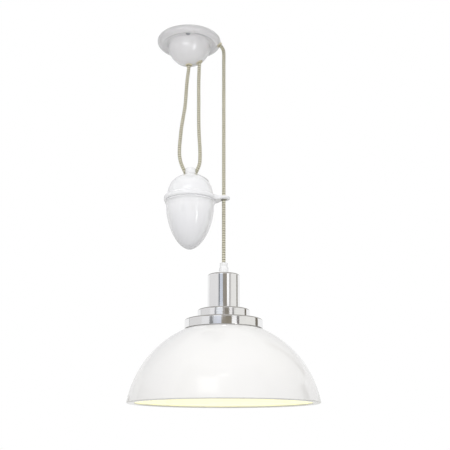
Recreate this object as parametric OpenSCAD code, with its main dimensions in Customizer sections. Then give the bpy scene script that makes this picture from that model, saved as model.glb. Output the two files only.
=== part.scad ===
// Rise and fall pendant. Millimetres, Z up, origin on the ceiling at the middle of the rose.
// The flex is held in the rose, runs down round the weight's wheel, up over the rose's pulley,
// out of the rose's side and down through the weight's eye to the lamp.
// The weight moves half as far as the lamp, the other way.

/* [Ceiling rose] */
// Diameter of the rose over its rounded edge
rose_d = 110; // [106:1:130]
// Radius of the rounded edge
bead_r = 7; // [6.5:0.5:8]
// Radius of the dome under the rose
dome_r = 36.5; // [35.5:0.5:37]
// Depth of the dome's centre below the ceiling
dome_centre = 14; // [13:0.5:16]
// Thickness of the glazed wall
rose_wall = 4; // [3.5:0.5:4.5]
// Depth of the ring-shaped channel between dome and edge
channel_depth = 12; // [11.5:0.5:13]
// Thickness of the ceiling plate
plate_t = 1.5; // [1:0.5:2]
// Distance between the two ceiling fixing holes
fixing_spacing = 60; // [50:1:64]
// Diameter of a ceiling fixing hole
fixing_hole_d = 5.2; // [4:0.1:6]
// Diameter of the supply cable's hole
supply_hole_d = 12; // [8:1:14]
// Distance of a cover screw from the middle
cover_screw_offset = 41.5; // [41:0.5:43]
// Diameter of a cover screw
cover_screw_d = 4; // [3:0.5:5]

/* [Rose pulley] */
// Distance of the pulley's pin from the middle
pulley_x = 22; // [21.5:0.5:22.5]
// Depth of the pulley's pin below the ceiling
pulley_depth = 13.5; // [13.5:0.5:14]
// Radius from the pin to the middle of the flex
pulley_axis_r = 8.5; // [8:0.1:8.6]
// Height of the pulley's rim over the middle of the flex
pulley_rim = 1.2; // [0.8:0.1:1.3]
// Thickness of the pulley
pulley_t = 9; // [8:0.5:10]
// Diameter of the pulley's pin
pulley_pin_d = 4; // [3:0.5:5]
// Thickness of a cheek beside the pulley
cheek_t = 1.5; // [1:0.5:2]

/* [Flex] */
// Diameter of the braided flex
flex_d = 6; // [5.5:0.1:6]
// Distance of the right-hand hole from the middle of the rose
right_hole_x = 18; // [17.5:0.5:18.5]
// Bore of the two lower bushes
bush_bore_d = 8.6; // [8:0.1:9]
// Bore of the side bush
side_bush_bore_d = 7; // [6.8:0.1:7.2]
// Wall of a bush
bush_wall = 0.8; // [0.6:0.1:1]
// Width and thickness of a bush's lip
bush_lip = 1; // [0.8:0.1:1.2]

/* [Weight] */
// Depth of the neck's top below the ceiling
weight_drop = 241; // [240:0.5:242]
// Distance of the weight's axis from the middle of the rose
weight_x = 5; // [4.5:0.5:5.5]
// Diameter of the neck
neck_d = 19; // [18.5:0.5:20]
// Height of the neck above the dome
neck_h = 10.5; // [10:0.5:11.5]
// Radius of the weight's dome
cap_r = 38; // [37:0.5:39]
// Height of the weight's dome
cap_h = 38.5; // [37:0.5:40]
// Wall of the weight's two shells
weight_wall = 4.5; // [4:0.5:5]
// How far the collar stands out past the dome
collar_out = 5.5; // [5:0.5:7]
// Height of the collar
collar_h = 8.5; // [8:0.5:10]
// Radius of the bowl at its widest
bowl_r = 39.2; // [39:0.2:40.4]
// Height of the bowl below its widest place
bowl_h = 69; // [66:1:72]
// Distance of the eye from the weight's axis
eye_x = 55.5; // [55:0.5:56]
// Outer radius of the eye
eye_r = 10.5; // [10:0.5:12]
// Diameter of the eye's hole
eye_hole_d = 10; // [9:0.5:11]
// Thickness of the arm at the eye
eye_t = 3.5; // [3:0.5:5]
// Radius from the weight's wheel pin to the middle of the flex
wheel_axis_r = 7.2; // [7:0.1:7.4]
// Radius of the weight's wheel
wheel_r = 6.5; // [6:0.1:6.8]
// Thickness of the weight's wheel
wheel_t = 8; // [7:0.5:8]
// Diameter of the wheel's pin
wheel_pin_d = 3; // [2.5:0.5:3.5]
// Diameter of the rod that holds the weight together
rod_d = 6; // [5:0.5:8]

/* [Lamp] */
// Depth of the cord grip's top below the ceiling
lamp_drop = 402; // [400:1:410]
// Distance of the lamp's axis from the middle of the rose
lamp_x = 60.5; // [60.5:0.1:60.6]
// Diameter of the cord grip
grip_d = 15.2; // [14.8:0.2:18]
// Height of the cord grip
grip_h = 20; // [18:1:24]
// Diameter of the gallery's top tube
tube_d = 51.5; // [50:0.5:56]
// Height of the gallery's top tube
tube_h = 57; // [54:1:62]
// Diameter of the gallery's middle step
step_d = 83; // [76:1:90]
// Height of the gallery's middle step
step_h = 16; // [12:1:20]
// Diameter of the gallery's skirt
skirt_d = 124; // [112:1:132]
// Height of the gallery's skirt
skirt_h = 15; // [12:1:20]
// Thickness of the gallery's metal
gallery_wall = 1.2; // [1:0.1:1.6]
// Diameter of the shade's rim
shade_d = 300; // [290:1:302]
// Height of the shade, from its rim to the top of its curve
shade_h = 127.4; // [110:0.2:142]
// Thickness of the shade
shade_wall = 3; // [2.5:0.1:4]
// Width of the lip turned in at the rim
rim_lip = 12; // [8:1:16]
// Diameter of the lampholder
holder_d = 39; // [38:0.5:40]
// Diameter of the bulb's glass
bulb_d = 60; // [50:1:68]
// Length of the bulb with its cap
bulb_length = 107; // [102:1:112]

/* [Hidden] */

// Clearances: between fixed pieces, of a turning piece on its pin, of a thread or a driven fit
fixed_gap = 0.3;
run_gap = 0.05;
thread_gap = 0.05;
// Room between a groove and the flex in it
groove_gap = 0.2;
round_fn = 96;
small_fn = 48;
flex_sides = 10;
core_sides = 8;

white = [0.95, 0.95, 0.94];
rose_white = [0.86, 0.86, 0.86];
steel = [0.62, 0.63, 0.65];
zinc = [0.74, 0.75, 0.76];
brass = [0.78, 0.64, 0.34];
polished = [0.84, 0.85, 0.87];
iron = [0.3, 0.3, 0.31];
beige = [0.80, 0.76, 0.62];
braid = [0.72, 0.70, 0.60];
nylon = [0.92, 0.92, 0.88];

// Rose, worked out
rose_r = rose_d / 2;
bead_x = rose_r - bead_r;
dome_inner_r = dome_r - rose_wall;
recess_depth = channel_depth - rose_wall;
recess_r = bead_x - bead_r / 3;
plate_r = recess_r - fixed_gap;
bead_angle = 130;
fillet_r = 4;
dome_start_angle = -asin((channel_depth + fillet_r - dome_centre) / dome_r);
bush_r = bush_bore_d / 2 + bush_wall;
side_bush_r = side_bush_bore_d / 2 + bush_wall;
side_angle = 45;
side_exit = [bead_x + bead_r * cos(side_angle), -bead_r - bead_r * sin(side_angle)];
right_hole_tilt = asin(right_hole_x / dome_r);
pulley_z = -pulley_depth;
pulley_r = pulley_axis_r + pulley_rim;
groove_r = flex_d / 2 + groove_gap;
cheek_w = 12;
cheek_y = pulley_t / 2 + 0.5;
cheek_foot = 7.5;
rivet_y = cheek_y + cheek_t + 4;
rivet_d = 4;
screw_head_h = 2.2;
clamp_x = -14.5;
clamp_w = 6;
clamp_half_y = 10;
clamp_screw_y = 6.5;
clamp_screw_d = 3;
anchor_z = -7;
clamp_split = 0.5;
clamp_foot_z = -12;
block_x = -21.5;
block_l = 8.5;
block_w = 23;
block_h = 9;
pole_pitch = 8;
pole_z = -6;
earth_at = [-22, 24];
supply_at = [-4, -20];

// Weight, worked out
weight_z = -weight_drop;
cap_top_z = weight_z - neck_h;
collar_top_z = cap_top_z - cap_h;
collar_r = cap_r + collar_out;
collar_bottom_z = collar_top_z - collar_h;
cap_seat = 1.5;
bowl_top_z = collar_bottom_z - fixed_gap;
bowl_wide_z = bowl_top_z - 12;
// The wheel's pin lies in the neck, just above the dome
wheel_z = cap_top_z + wheel_pin_d / 2 + 0.2;
wheel_slot_half = wheel_t / 2 + 0.5;
wheel_slot_top = wheel_z + wheel_r + 0.4;
wheel_slot_x = wheel_axis_r + flex_d / 2 + 1.5;
wheel_slot_bottom = wheel_z - wheel_axis_r - flex_d / 2 - 1.5;
wheel_groove_r = flex_d / 2 + groove_gap;
mouth_z = weight_z - 5.5;
mouth_tilt = 24;
mouth_gap = 0.7;
// Depth at which the fillet under the neck meets the dome
dome_start = 3.3;
disc_depth = 17;
disc_top_z = cap_top_z - disc_depth;
disc_t = 4;
disc_r = cap_inner_r(cap_top_z - disc_top_z) - 0.1;
nut_h = 5;
nut_r = 5.8;
ballast_top_z = disc_top_z - disc_t - fixed_gap;

// Lamp, worked out
grip_z = -lamp_drop;
tube_top_z = grip_z - grip_h;
step_top_z = tube_top_z - tube_h;
skirt_top_z = step_top_z - step_h;
skirt_bottom_z = skirt_top_z - skirt_h;
skirt_r = skirt_d / 2;
rim_r = shade_d / 2;
shade_sphere_r = (rim_r * rim_r + shade_h * shade_h) / (2 * shade_h);
shade_centre_z = skirt_bottom_z - 0.2
    - sqrt(shade_sphere_r * shade_sphere_r - pow(skirt_r - gallery_wall, 2));
rim_z = shade_centre_z + sqrt(shade_sphere_r * shade_sphere_r - rim_r * rim_r);
crown_r = 28;
crown_z = shade_centre_z + sqrt(shade_sphere_r * shade_sphere_r - crown_r * crown_r);
shade_inner_r = shade_sphere_r - shade_wall;
holder_r = holder_d / 2;
shade_hole_r = holder_r + 0.5;
washer_t = 1;
flange_t = 2;
flange_r = crown_r - 2;
shade_ring_h = 6;
shade_ring_r = crown_r - 1;
entry_r = 5;
entry_up = 5;
entry_bore_r = flex_d / 2 + 0.5;
nut_flat_r = 8;
tube_nut_h = 4;
holder_flange_z = crown_z + washer_t;
holder_rise = 34;
holder_top_z = holder_flange_z + holder_rise;
holder_bottom_z = crown_z - shade_wall - shade_ring_h - 4;
holder_cap_h = 16;
holder_neck_z = holder_top_z + holder_cap_h;
holder_neck_r = entry_r + 3.6;
core_z = holder_top_z - 6;
core_h = 8;
shell_r = 14.5;
shell_wall = 0.8;
bulb_cap_r = 13.2;
bulb_top_z = core_z - core_h - 1;
bulb_cap_h = 26;
bulb_bottom_z = bulb_top_z - bulb_length;

// Routes of the flex, in the plane of the pulleys: x and z
pulley_route = [
    [18, -50], [17.7, -45.5], [16.3, -40], [15.2, -30], [14, -20], [13.3, -13.5],
    [14, -10.2], [15.8, -7.3], [18.7, -5.4], [22, -4.8], [32, -4.8], [42.3, -4.9],
    [46.5, -6.3], [49.2, -8.2], [53.9, -12.9], [57.6, -17.6], [59.9, -23.4], [60.5, -27.5],
    [60.5, -30]
];
anchor_route = [
    [0, -46], [0, -32], [0, -20], [-0.7, -14.5], [-3, -10.8], [-6.5, -8], [-11, -7], [-17.8, -7]
];
left_route = [
    [0, -46.2], [-0.4, -58], [-2.3, -76], [-3.7, -94], [-4.6, -112], [-5.9, -130], [-8.5, -148],
    [-11.1, -166], [-12.7, -184], [-14, -202], [-13.6, -219], [-11, -231], [-7.6, -239.5],
    [-4.6, -246.3]
];
right_route = [
    [18, -50.4], [17.7, -62], [17.3, -80], [17.3, -98], [17.6, -116], [17.7, -134], [17.9, -152],
    [18.3, -170], [19.2, -188], [20.3, -204], [20.6, -219], [20, -231], [17.6, -239.5],
    [14.6, -246.3]
];
loop_route = [
    [-9.5, -246.5], [-8.1, -249.65], [-6.4, -253.2], [-3.6, -256.4], [0, -257.3],
    [3.6, -256.4], [6.4, -253.2], [8.1, -249.65], [9.5, -246.5]
];
lamp_route = [for (i = [0:20]) [lamp_x, -30 - 18.7 * i]];
grip_route = [[lamp_x, -404], [lamp_x, -420], [lamp_x, -436]];
core_ends = [-pole_pitch, 0, pole_pitch];

// Points along an arc from angle a0 to angle a1
function arc(x, z, r, a0, a1, n) =
    [for (i = [0:n]) let (a = a0 + (a1 - a0) * i / n) [x + r * cos(a), z + r * sin(a)]];
// Radius of the weight's dome at a depth below its top
function cap_outer_r(depth) = cap_r * sqrt(1 - pow(1 - min(depth, cap_h) / cap_h, 2.4));
function cap_inner_r(depth) =
    (cap_r - weight_wall)
    * sqrt(1 - pow(1 - min(depth - weight_wall, cap_h - weight_wall) / (cap_h - weight_wall), 2.4));
// Radius of the egg-shaped bowl at a depth below its widest place
function egg(r, h, depth) = r * pow(1 - pow(min(depth / h, 1), 1.7), 0.55);

// A route in the plane of the pulleys as points in space
function in_plane(route) = [for (p = route) [p[0], 0, p[1]]];
function unit(v) = v / norm(v);
function tangent(p, i) =
    i == 0 ? unit(p[1] - p[0])
    : i == len(p) - 1 ? unit(p[i] - p[i - 1])
    : unit(unit(p[i + 1] - p[i]) + unit(p[i] - p[i - 1]));
function ring(c, t, r, sides) =
    let (u = unit(cross(t, [0, 1, 0.0001])), v = cross(t, u))
    [for (k = [0:sides - 1]) c + r * cos(360 * k / sides) * u + r * sin(360 * k / sides) * v];

// A tube swept along points in space
module tube_along(p, r, sides) {
    n = len(p);
    points = [for (i = [0:n - 1]) each ring(p[i], tangent(p, i), r, sides)];
    start = [for (k = [0:sides - 1]) k];
    end = [for (k = [sides - 1:-1:0]) (n - 1) * sides + k];
    walls = [for (i = [0:n - 2]) for (k = [0:sides - 1])
        let (a = i * sides + k, b = i * sides + (k + 1) % sides)
        [a, a + sides, b + sides, b]];
    polyhedron(points, concat([start], walls, [end]));
}

module flex(route) { tube_along(in_plane(route), flex_d / 2, flex_sides); }

// Pan head, flat side at z = 0, with a shank upwards
module pan_screw(d, length) {
    cylinder(d = d, h = length, $fn = small_fn);
    translate([0, 0, -screw_head_h])
        rotate_extrude($fn = small_fn)
            polygon(concat([[0, screw_head_h]], [[0.95 * d, screw_head_h], [0.95 * d, 1.1]],
                arc(0.95 * d - 1.1, 1.1, 1.1, 0, -90, 5), [[0, 0]]));
}

module cross_slot(d) {
    for (a = [0, 90])
        rotate([0, 0, a])
            translate([-0.6 * d, -0.15 * d, -screw_head_h - 1])
                cube([1.2 * d, 0.3 * d, 2]);
}

// A bush with its lip outside, bore along -Z, lip's inner face at z = 0
module bush(bore_d, length) {
    outer = bore_d / 2 + bush_wall;
    rotate_extrude($fn = round_fn)
        polygon(concat([[bore_d / 2, length], [outer, length], [outer, 0], [outer + bush_lip, 0]],
            arc(outer, -0.2, bush_lip, 0, -90, 6), [[bore_d / 2 + 0.4, -0.2 - bush_lip]],
            [[bore_d / 2, -0.6]]));
}

// Rose ------------------------------------------------------------------

module ceiling_plate() {
    color(zinc) difference() {
        translate([0, 0, -plate_t]) cylinder(r = plate_r, h = plate_t, $fn = round_fn);
        for (side = [-1, 1]) {
            translate([0, side * fixing_spacing / 2, -plate_t - 1])
                cylinder(d = fixing_hole_d, h = plate_t + 2, $fn = small_fn);
            translate([pulley_x, side * rivet_y, -plate_t - 1])
                cylinder(d = rivet_d + 2 * thread_gap, h = plate_t + 2, $fn = small_fn);
            translate([clamp_x, side * clamp_screw_y, -plate_t - 1])
                cylinder(d = clamp_screw_d + 2 * thread_gap, h = plate_t + 2, $fn = small_fn);
        }
        translate([supply_at[0], supply_at[1], -plate_t - 1])
            cylinder(d = supply_hole_d, h = plate_t + 2, $fn = small_fn);
        translate([earth_at[0], earth_at[1], -plate_t - 1])
            cylinder(d = cover_screw_d + 2 * thread_gap, h = plate_t + 2, $fn = small_fn);
    }
}

module cover_posts() {
    color(zinc)
        for (side = [-1, 1])
            translate([0, side * cover_screw_offset, -recess_depth])
                difference() {
                    cylinder(r = recess_r - cover_screw_offset - 0.5, h = recess_depth - plate_t,
                        $fn = small_fn);
                    translate([0, 0, -1])
                        cylinder(d = cover_screw_d + 2 * thread_gap, h = recess_depth + 1,
                            $fn = small_fn);
                }
}

module rose_profile() {
    polygon(concat(
        [[recess_r, 0]],
        arc(bead_x, -bead_r, bead_r, 90, -bead_angle, 22),
        [[bead_x - 0.72 * bead_r, -channel_depth]],
        arc(dome_r + fillet_r - 0.1, -channel_depth - fillet_r, fillet_r, 90, 180, 8),
        arc(0, -dome_centre, dome_r, dome_start_angle - 1, -90, 26),
        arc(0, -dome_centre, dome_inner_r, -90, 0, 24),
        [[dome_inner_r + 0.8, -recess_depth - 1], [dome_inner_r + 1.8, -recess_depth]],
        [[recess_r, -recess_depth]]));
}

module rose_cover() {
    color(rose_white) difference() {
        rotate_extrude($fn = round_fn) rose_profile();
        translate([0, 0, -dome_centre - dome_r - 1])
            cylinder(r = bush_r + thread_gap, h = rose_wall + 4, $fn = small_fn);
        translate([0, 0, -dome_centre])
            rotate([0, 180 - right_hole_tilt, 0])
                translate([0, 0, dome_inner_r - 4])
                    cylinder(r = bush_r + thread_gap, h = 12, $fn = small_fn);
        translate([side_exit[0], 0, side_exit[1]])
            rotate([0, 90 + side_angle, 0])
                translate([0, 0, -12]) cylinder(r = side_bush_r + thread_gap, h = 17, $fn = small_fn);
        for (side = [-1, 1])
            translate([0, side * cover_screw_offset, -channel_depth - bead_r]) {
                cylinder(d = cover_screw_d + 0.4, h = bead_r + rose_wall + 2, $fn = small_fn);
                cylinder(r = 0.95 * cover_screw_d + fixed_gap, h = bead_r, $fn = small_fn);
            }
    }
}

module cover_screws() {
    color(steel)
        for (side = [-1, 1])
            translate([0, side * cover_screw_offset, -channel_depth])
                difference() {
                    pan_screw(cover_screw_d, channel_depth - plate_t - 0.5);
                    cross_slot(cover_screw_d);
                }
}

module bush_left() {
    color(beige) translate([0, 0, -dome_centre - dome_r]) bush(bush_bore_d, rose_wall + 1);
}

module bush_right() {
    color(beige)
        translate([0, 0, -dome_centre])
            rotate([0, -right_hole_tilt, 0])
                translate([0, 0, -dome_r]) bush(bush_bore_d, rose_wall + 1);
}

module side_bush() {
    color(beige)
        translate([side_exit[0], 0, side_exit[1]])
            rotate([0, side_angle - 90, 0])
                bush(side_bush_bore_d, 5);
}

module pulley_cheeks() {
    color(zinc)
        for (side = [0, 1])
            mirror([0, side, 0])
                difference() {
                    union() {
                        translate([pulley_x - cheek_w / 2, cheek_y, pulley_z])
                            cube([cheek_w, cheek_t, pulley_depth - plate_t]);
                        translate([pulley_x, cheek_y + cheek_t, pulley_z])
                            rotate([90, 0, 0]) cylinder(d = cheek_w, h = cheek_t, $fn = small_fn);
                        translate([pulley_x - cheek_w / 2, cheek_y, -plate_t - cheek_t])
                            cube([cheek_w, cheek_t + cheek_foot, cheek_t]);
                    }
                    translate([pulley_x, cheek_y + cheek_t + 1, pulley_z])
                        rotate([90, 0, 0])
                            cylinder(d = pulley_pin_d + 2 * thread_gap, h = cheek_t + 2,
                                $fn = small_fn);
                    translate([pulley_x, rivet_y, -plate_t - cheek_t - 1])
                        cylinder(d = rivet_d + 2 * thread_gap, h = cheek_t + 2, $fn = small_fn);
                }
}

module cheek_rivets() {
    color(zinc)
        for (side = [-1, 1])
            translate([pulley_x, side * rivet_y, -plate_t - cheek_t]) {
                cylinder(d = rivet_d, h = plate_t + cheek_t, $fn = small_fn);
                translate([0, 0, -1.4])
                    cylinder(d1 = 0.9 * rivet_d, d2 = 1.5 * rivet_d, h = 1.4, $fn = small_fn);
            }
}

module rose_pulley_pin() {
    pin_half = cheek_y + cheek_t;
    color(steel)
        translate([pulley_x, 0, pulley_z])
            rotate([90, 0, 0]) {
                translate([0, 0, -pin_half])
                    cylinder(d = pulley_pin_d, h = 2 * pin_half, $fn = small_fn);
                for (side = [0, 1])
                    mirror([0, 0, side])
                        translate([0, 0, pin_half])
                            cylinder(d = 1.5 * pulley_pin_d, h = 1, $fn = small_fn);
            }
}

// A grooved wheel on its side, with its axis along Y
module grooved_wheel(axis_r, rim_r, thickness, groove, bore_d) {
    rotate([90, 0, 0])
        difference() {
            translate([0, 0, -thickness / 2]) cylinder(r = rim_r, h = thickness, $fn = round_fn);
            translate([0, 0, -thickness / 2 - 1])
                cylinder(d = bore_d, h = thickness + 2, $fn = small_fn);
            rotate_extrude($fn = round_fn) translate([axis_r, 0]) circle(r = groove, $fn = small_fn);
        }
}

module rose_pulley() {
    color(brass)
        translate([pulley_x, 0, pulley_z])
            grooved_wheel(pulley_axis_r, pulley_r, pulley_t, groove_r, pulley_pin_d + 2 * run_gap);
}

// Saddle clamp that holds the fixed end of the flex
module cord_clamp() {
    clamp_h = -clamp_foot_z - plate_t;
    color(nylon)
        difference() {
            translate([clamp_x - clamp_w / 2, -clamp_half_y, clamp_foot_z])
                cube([clamp_w, 2 * clamp_half_y, clamp_h]);
            translate([clamp_x - clamp_w, -clamp_half_y - 1, anchor_z - clamp_split / 2])
                cube([2 * clamp_w, 2 * clamp_half_y + 2, clamp_split]);
            translate([clamp_x - clamp_w, 0, anchor_z])
                rotate([0, 90, 0]) cylinder(d = flex_d + 0.1, h = 2 * clamp_w, $fn = small_fn);
            for (side = [-1, 1])
                translate([clamp_x, side * clamp_screw_y, clamp_foot_z - 1])
                    cylinder(d = clamp_screw_d + 2 * thread_gap, h = clamp_h + 2, $fn = small_fn);
        }
}

module clamp_screws() {
    color(steel)
        for (side = [-1, 1])
            translate([clamp_x, side * clamp_screw_y, clamp_foot_z])
                difference() {
                    pan_screw(clamp_screw_d, -clamp_foot_z);
                    cross_slot(clamp_screw_d);
                }
}

module terminal_block() {
    color(nylon)
        difference() {
            translate([block_x - block_l, -block_w / 2, -plate_t - block_h])
                cube([block_l, block_w, block_h]);
            for (y = core_ends) {
                translate([block_x - block_l + 2, y, pole_z])
                    rotate([0, 90, 0]) cylinder(d = 3, h = block_l, $fn = small_fn);
                translate([block_x - block_l / 2, y, -plate_t - block_h - 1])
                    cylinder(d = 3.4, h = block_h + plate_t + 1 + pole_z, $fn = small_fn);
            }
            for (y = [-pole_pitch / 2, pole_pitch / 2])
                translate([block_x - block_l - 1, y - 0.6, -plate_t - block_h - 1])
                    cube([block_l + 2, 1.2, block_h / 2]);
        }
}

module terminal_screws() {
    screw_h = 4;
    color(brass)
        for (y = core_ends)
            translate([block_x - block_l / 2, y, -plate_t - block_h + 0.2])
                difference() {
                    cylinder(d = 3.3, h = screw_h - 0.7, $fn = small_fn);
                    translate([-2, -0.3, -1]) cube([4, 0.6, 1.8]);
                }
}

module earth_screw() {
    color(brass)
        translate([earth_at[0], earth_at[1], -plate_t])
            difference() {
                pan_screw(cover_screw_d, plate_t);
                cross_slot(cover_screw_d);
            }
}

module anchor_cord() { color(braid) flex(anchor_route); }

module cord_cores() {
    color(nylon)
        for (i = [0:2])
            tube_along([
                [block_x + 3.6, (i - 1) * 1.9, anchor_z], [block_x + 3.1, (i - 1) * 1.9, anchor_z],
                [block_x + 1.9, 0.6 * core_ends[i], (anchor_z + pole_z) / 2],
                [block_x + 0.7, core_ends[i], pole_z],
                [block_x - 0.5, core_ends[i], pole_z], [block_x - 3.5, core_ends[i], pole_z]
            ], 0.9, core_sides);
}

module pulley_cord() { color(braid) flex(pulley_route); }

module cord_left() { color(braid) flex(left_route); }

module cord_right() { color(braid) flex(right_route); }

module lamp_cord() { color(braid) flex(lamp_route); }

// Weight ----------------------------------------------------------------

module at_weight() { translate([weight_x, 0, 0]) children(); }

module cap_profile() {
    neck_r = neck_d / 2;
    polygon(concat(
        [[0, weight_z]], arc(neck_r - 2, weight_z - 2, 2, 90, 0, 6),
        [[neck_r, cap_top_z + 1.2], [neck_r + 0.5, cap_top_z + 0.2], [neck_r + 1.6, cap_top_z - 0.6]],
        [for (i = [0:20]) let (depth = dome_start + (cap_h - dome_start) * pow(i / 20, 1.5))
            [cap_outer_r(depth), cap_top_z - depth]],
        [[cap_r, collar_top_z - cap_seat], [cap_r - weight_wall, collar_top_z - cap_seat],
            [cap_r - weight_wall, collar_top_z]],
        [for (i = [20:-1:0]) let (depth = weight_wall + (cap_h - weight_wall) * pow(i / 20, 1.5))
            [cap_inner_r(depth), cap_top_z - depth]]));
}

module weight_cap() {
    color(white) at_weight() difference() {
        rotate_extrude($fn = round_fn) cap_profile();
        translate([-wheel_slot_x, -wheel_slot_half, wheel_slot_bottom])
            cube([2 * wheel_slot_x, 2 * wheel_slot_half, wheel_slot_top - wheel_slot_bottom]);
        // mouths on both sides of the neck, in line with the flex
        for (side = [-1, 1])
            translate([side * neck_d / 2, 0, mouth_z])
                rotate([0, side * mouth_tilt, 0])
                    translate([0, 0, -6])
                        cylinder(r = flex_d / 2 + mouth_gap, h = 16, $fn = small_fn);
        // blind bore for the wheel's pin, open at the back
        translate([0, neck_d / 2 + 1, wheel_z])
            rotate([90, 0, 0])
                cylinder(d = wheel_pin_d + 2 * thread_gap, h = neck_d - 1, $fn = small_fn);
    }
}

module weight_wheel() {
    color(brass) at_weight()
        translate([0, 0, wheel_z])
            grooved_wheel(wheel_axis_r, wheel_r, wheel_t, wheel_groove_r, wheel_pin_d + 2 * run_gap);
}

module wheel_pin() {
    color(steel) at_weight()
        translate([0, neck_d / 2 - 0.2, wheel_z])
            rotate([90, 0, 0]) cylinder(d = wheel_pin_d, h = neck_d - 2.5, $fn = small_fn);
}

module loop_cord() { color(braid) at_weight() flex(loop_route); }

// Thin spring strip lying on the dome, hooked beside the neck
module weight_clip() {
    clip_w = 6;
    clip_t = 0.9;
    lift = 0.35;
    end_depth = 12.9;
    low = concat([[neck_d / 2 + 2.6, cap_top_z - 1.1]],
        [for (i = [0:10]) let (depth = dome_start + (end_depth - dome_start) * i / 10)
            [cap_outer_r(depth), cap_top_z - depth]]);
    color(zinc) at_weight()
        translate([0, clip_w / 2, 0])
            rotate([90, 0, 0])
                linear_extrude(clip_w)
                    polygon(concat([for (p = low) [p[0], p[1] + lift]],
                        [for (i = [11:-1:0]) [low[i][0] + 0.3, low[i][1] + lift + clip_t]]));
}

module collar_profile() {
    inner = cap_r - weight_wall + 1;
    bead = 3;
    polygon(concat(
        [[inner, collar_bottom_z]],
        arc(collar_r - bead, collar_bottom_z + bead, bead, -90, 0, 6),
        arc(collar_r - 2, collar_top_z - 2, 2, 0, 90, 5),
        [[cap_r + 1.5, collar_top_z], [cap_r + 0.2, collar_top_z - 1],
            [cap_r + 0.2, collar_top_z - cap_seat], [inner, collar_top_z - cap_seat]]));
}

// Ring between the two shells, with the arm whose eye keeps the lamp's flex beside the weight
module guide_collar() {
    root_x = collar_r - 4;
    arm_drop = collar_h + 1;
    color(white) at_weight() difference() {
        union() {
            rotate_extrude($fn = round_fn) collar_profile();
            intersection() {
                translate([0, 0, collar_top_z - arm_drop])
                    linear_extrude(arm_drop) difference() {
                        union() {
                            translate([eye_x, 0]) circle(r = eye_r, $fn = round_fn);
                            polygon([[root_x, -eye_r - 3], [eye_x, -eye_r], [eye_x, eye_r],
                                [root_x, eye_r + 3]]);
                        }
                        circle(r = root_x, $fn = round_fn);
                    }
                translate([0, eye_r + 5, 0])
                    rotate([90, 0, 0])
                        linear_extrude(2 * eye_r + 10)
                            polygon([[root_x - 1, collar_top_z], [eye_x + eye_r - 2, collar_top_z],
                                [eye_x + eye_r + 0.2, collar_top_z - 1.5],
                                [eye_x + eye_r - 1, collar_top_z - eye_t],
                                [eye_x - 3, collar_top_z - eye_t - 0.5],
                                [root_x + 6, collar_bottom_z],
                                [root_x - 1, collar_bottom_z]]);
            }
        }
        translate([eye_x, 0, collar_bottom_z - 5])
            cylinder(d = eye_hole_d, h = 3 * collar_h, $fn = small_fn);
    }
}

module cap_disc() {
    color(zinc) at_weight() difference() {
        translate([0, 0, disc_top_z - disc_t]) cylinder(r = disc_r, h = disc_t, $fn = round_fn);
        translate([0, 0, disc_top_z - disc_t - 1])
            cylinder(d = rod_d + 2 * thread_gap, h = disc_t + 2, $fn = small_fn);
    }
}

module tie_rod() {
    rod_top = disc_top_z + nut_h;
    color(steel) at_weight()
        translate([0, 0, bowl_wide_z - bowl_h / 2])
            cylinder(d = rod_d, h = rod_top - bowl_wide_z + bowl_h / 2, $fn = small_fn);
}

module rod_nut() {
    color(zinc) at_weight()
        translate([0, 0, disc_top_z])
            difference() {
                cylinder(r = nut_r, h = nut_h - 0.5, $fn = 6);
                translate([0, 0, -1])
                    cylinder(d = rod_d + 2 * thread_gap, h = nut_h + 2, $fn = small_fn);
            }
}

// Iron weight that fills the two shells and is threaded for the rod
module ballast() {
    inner_r = bowl_r - weight_wall - fixed_gap;
    inner_h = bowl_h - weight_wall - fixed_gap;
    collar_inner = cap_r - weight_wall + 1 - fixed_gap;
    top_depth = cap_top_z - ballast_top_z + 1;
    low_depth = cap_h + cap_seat - 2;
    color(iron) at_weight() difference() {
        rotate_extrude($fn = round_fn)
            polygon(concat(
                [[0, ballast_top_z], [cap_inner_r(top_depth) - 2, ballast_top_z]],
                [for (i = [0:6]) let (depth = top_depth + (low_depth - top_depth) * i / 6)
                    [cap_inner_r(depth) - 1, cap_top_z - depth]],
                [[min(inner_r, collar_inner) - 1, bowl_top_z]],
                [for (i = [0:19]) let (depth = inner_h * (1 - pow(1 - i / 19, 1.5)))
                    [egg(inner_r, inner_h, depth), bowl_wide_z - depth]]));
        translate([0, 0, bowl_wide_z - bowl_h / 2 - 1])
            cylinder(d = rod_d + 2 * thread_gap, h = bowl_h + cap_h, $fn = small_fn);
    }
}

module weight_bowl() {
    inner_r = bowl_r - weight_wall;
    inner_h = bowl_h - weight_wall;
    steps = 24;
    color(white) at_weight()
        rotate_extrude($fn = round_fn)
            polygon(concat(
                [[inner_r, bowl_top_z], [collar_r - 2.2, bowl_top_z],
                    [collar_r - 1.5, bowl_top_z - 0.8], [collar_r - 1.8, bowl_top_z - 2.2],
                    [bowl_r + 1, bowl_top_z - 4.6], [bowl_r + 0.3, bowl_top_z - 6.5]],
                [for (i = [0:steps]) let (depth = bowl_h * (1 - pow(1 - i / steps, 1.7)))
                    [egg(bowl_r, bowl_h, depth), bowl_wide_z - depth]],
                [for (i = [steps:-1:0]) let (depth = inner_h * (1 - pow(1 - i / steps, 1.7)))
                    [egg(inner_r, inner_h, depth), bowl_wide_z - depth]]));
}

// Lamp ------------------------------------------------------------------

module at_lamp() { translate([lamp_x, 0, 0]) children(); }

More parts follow.
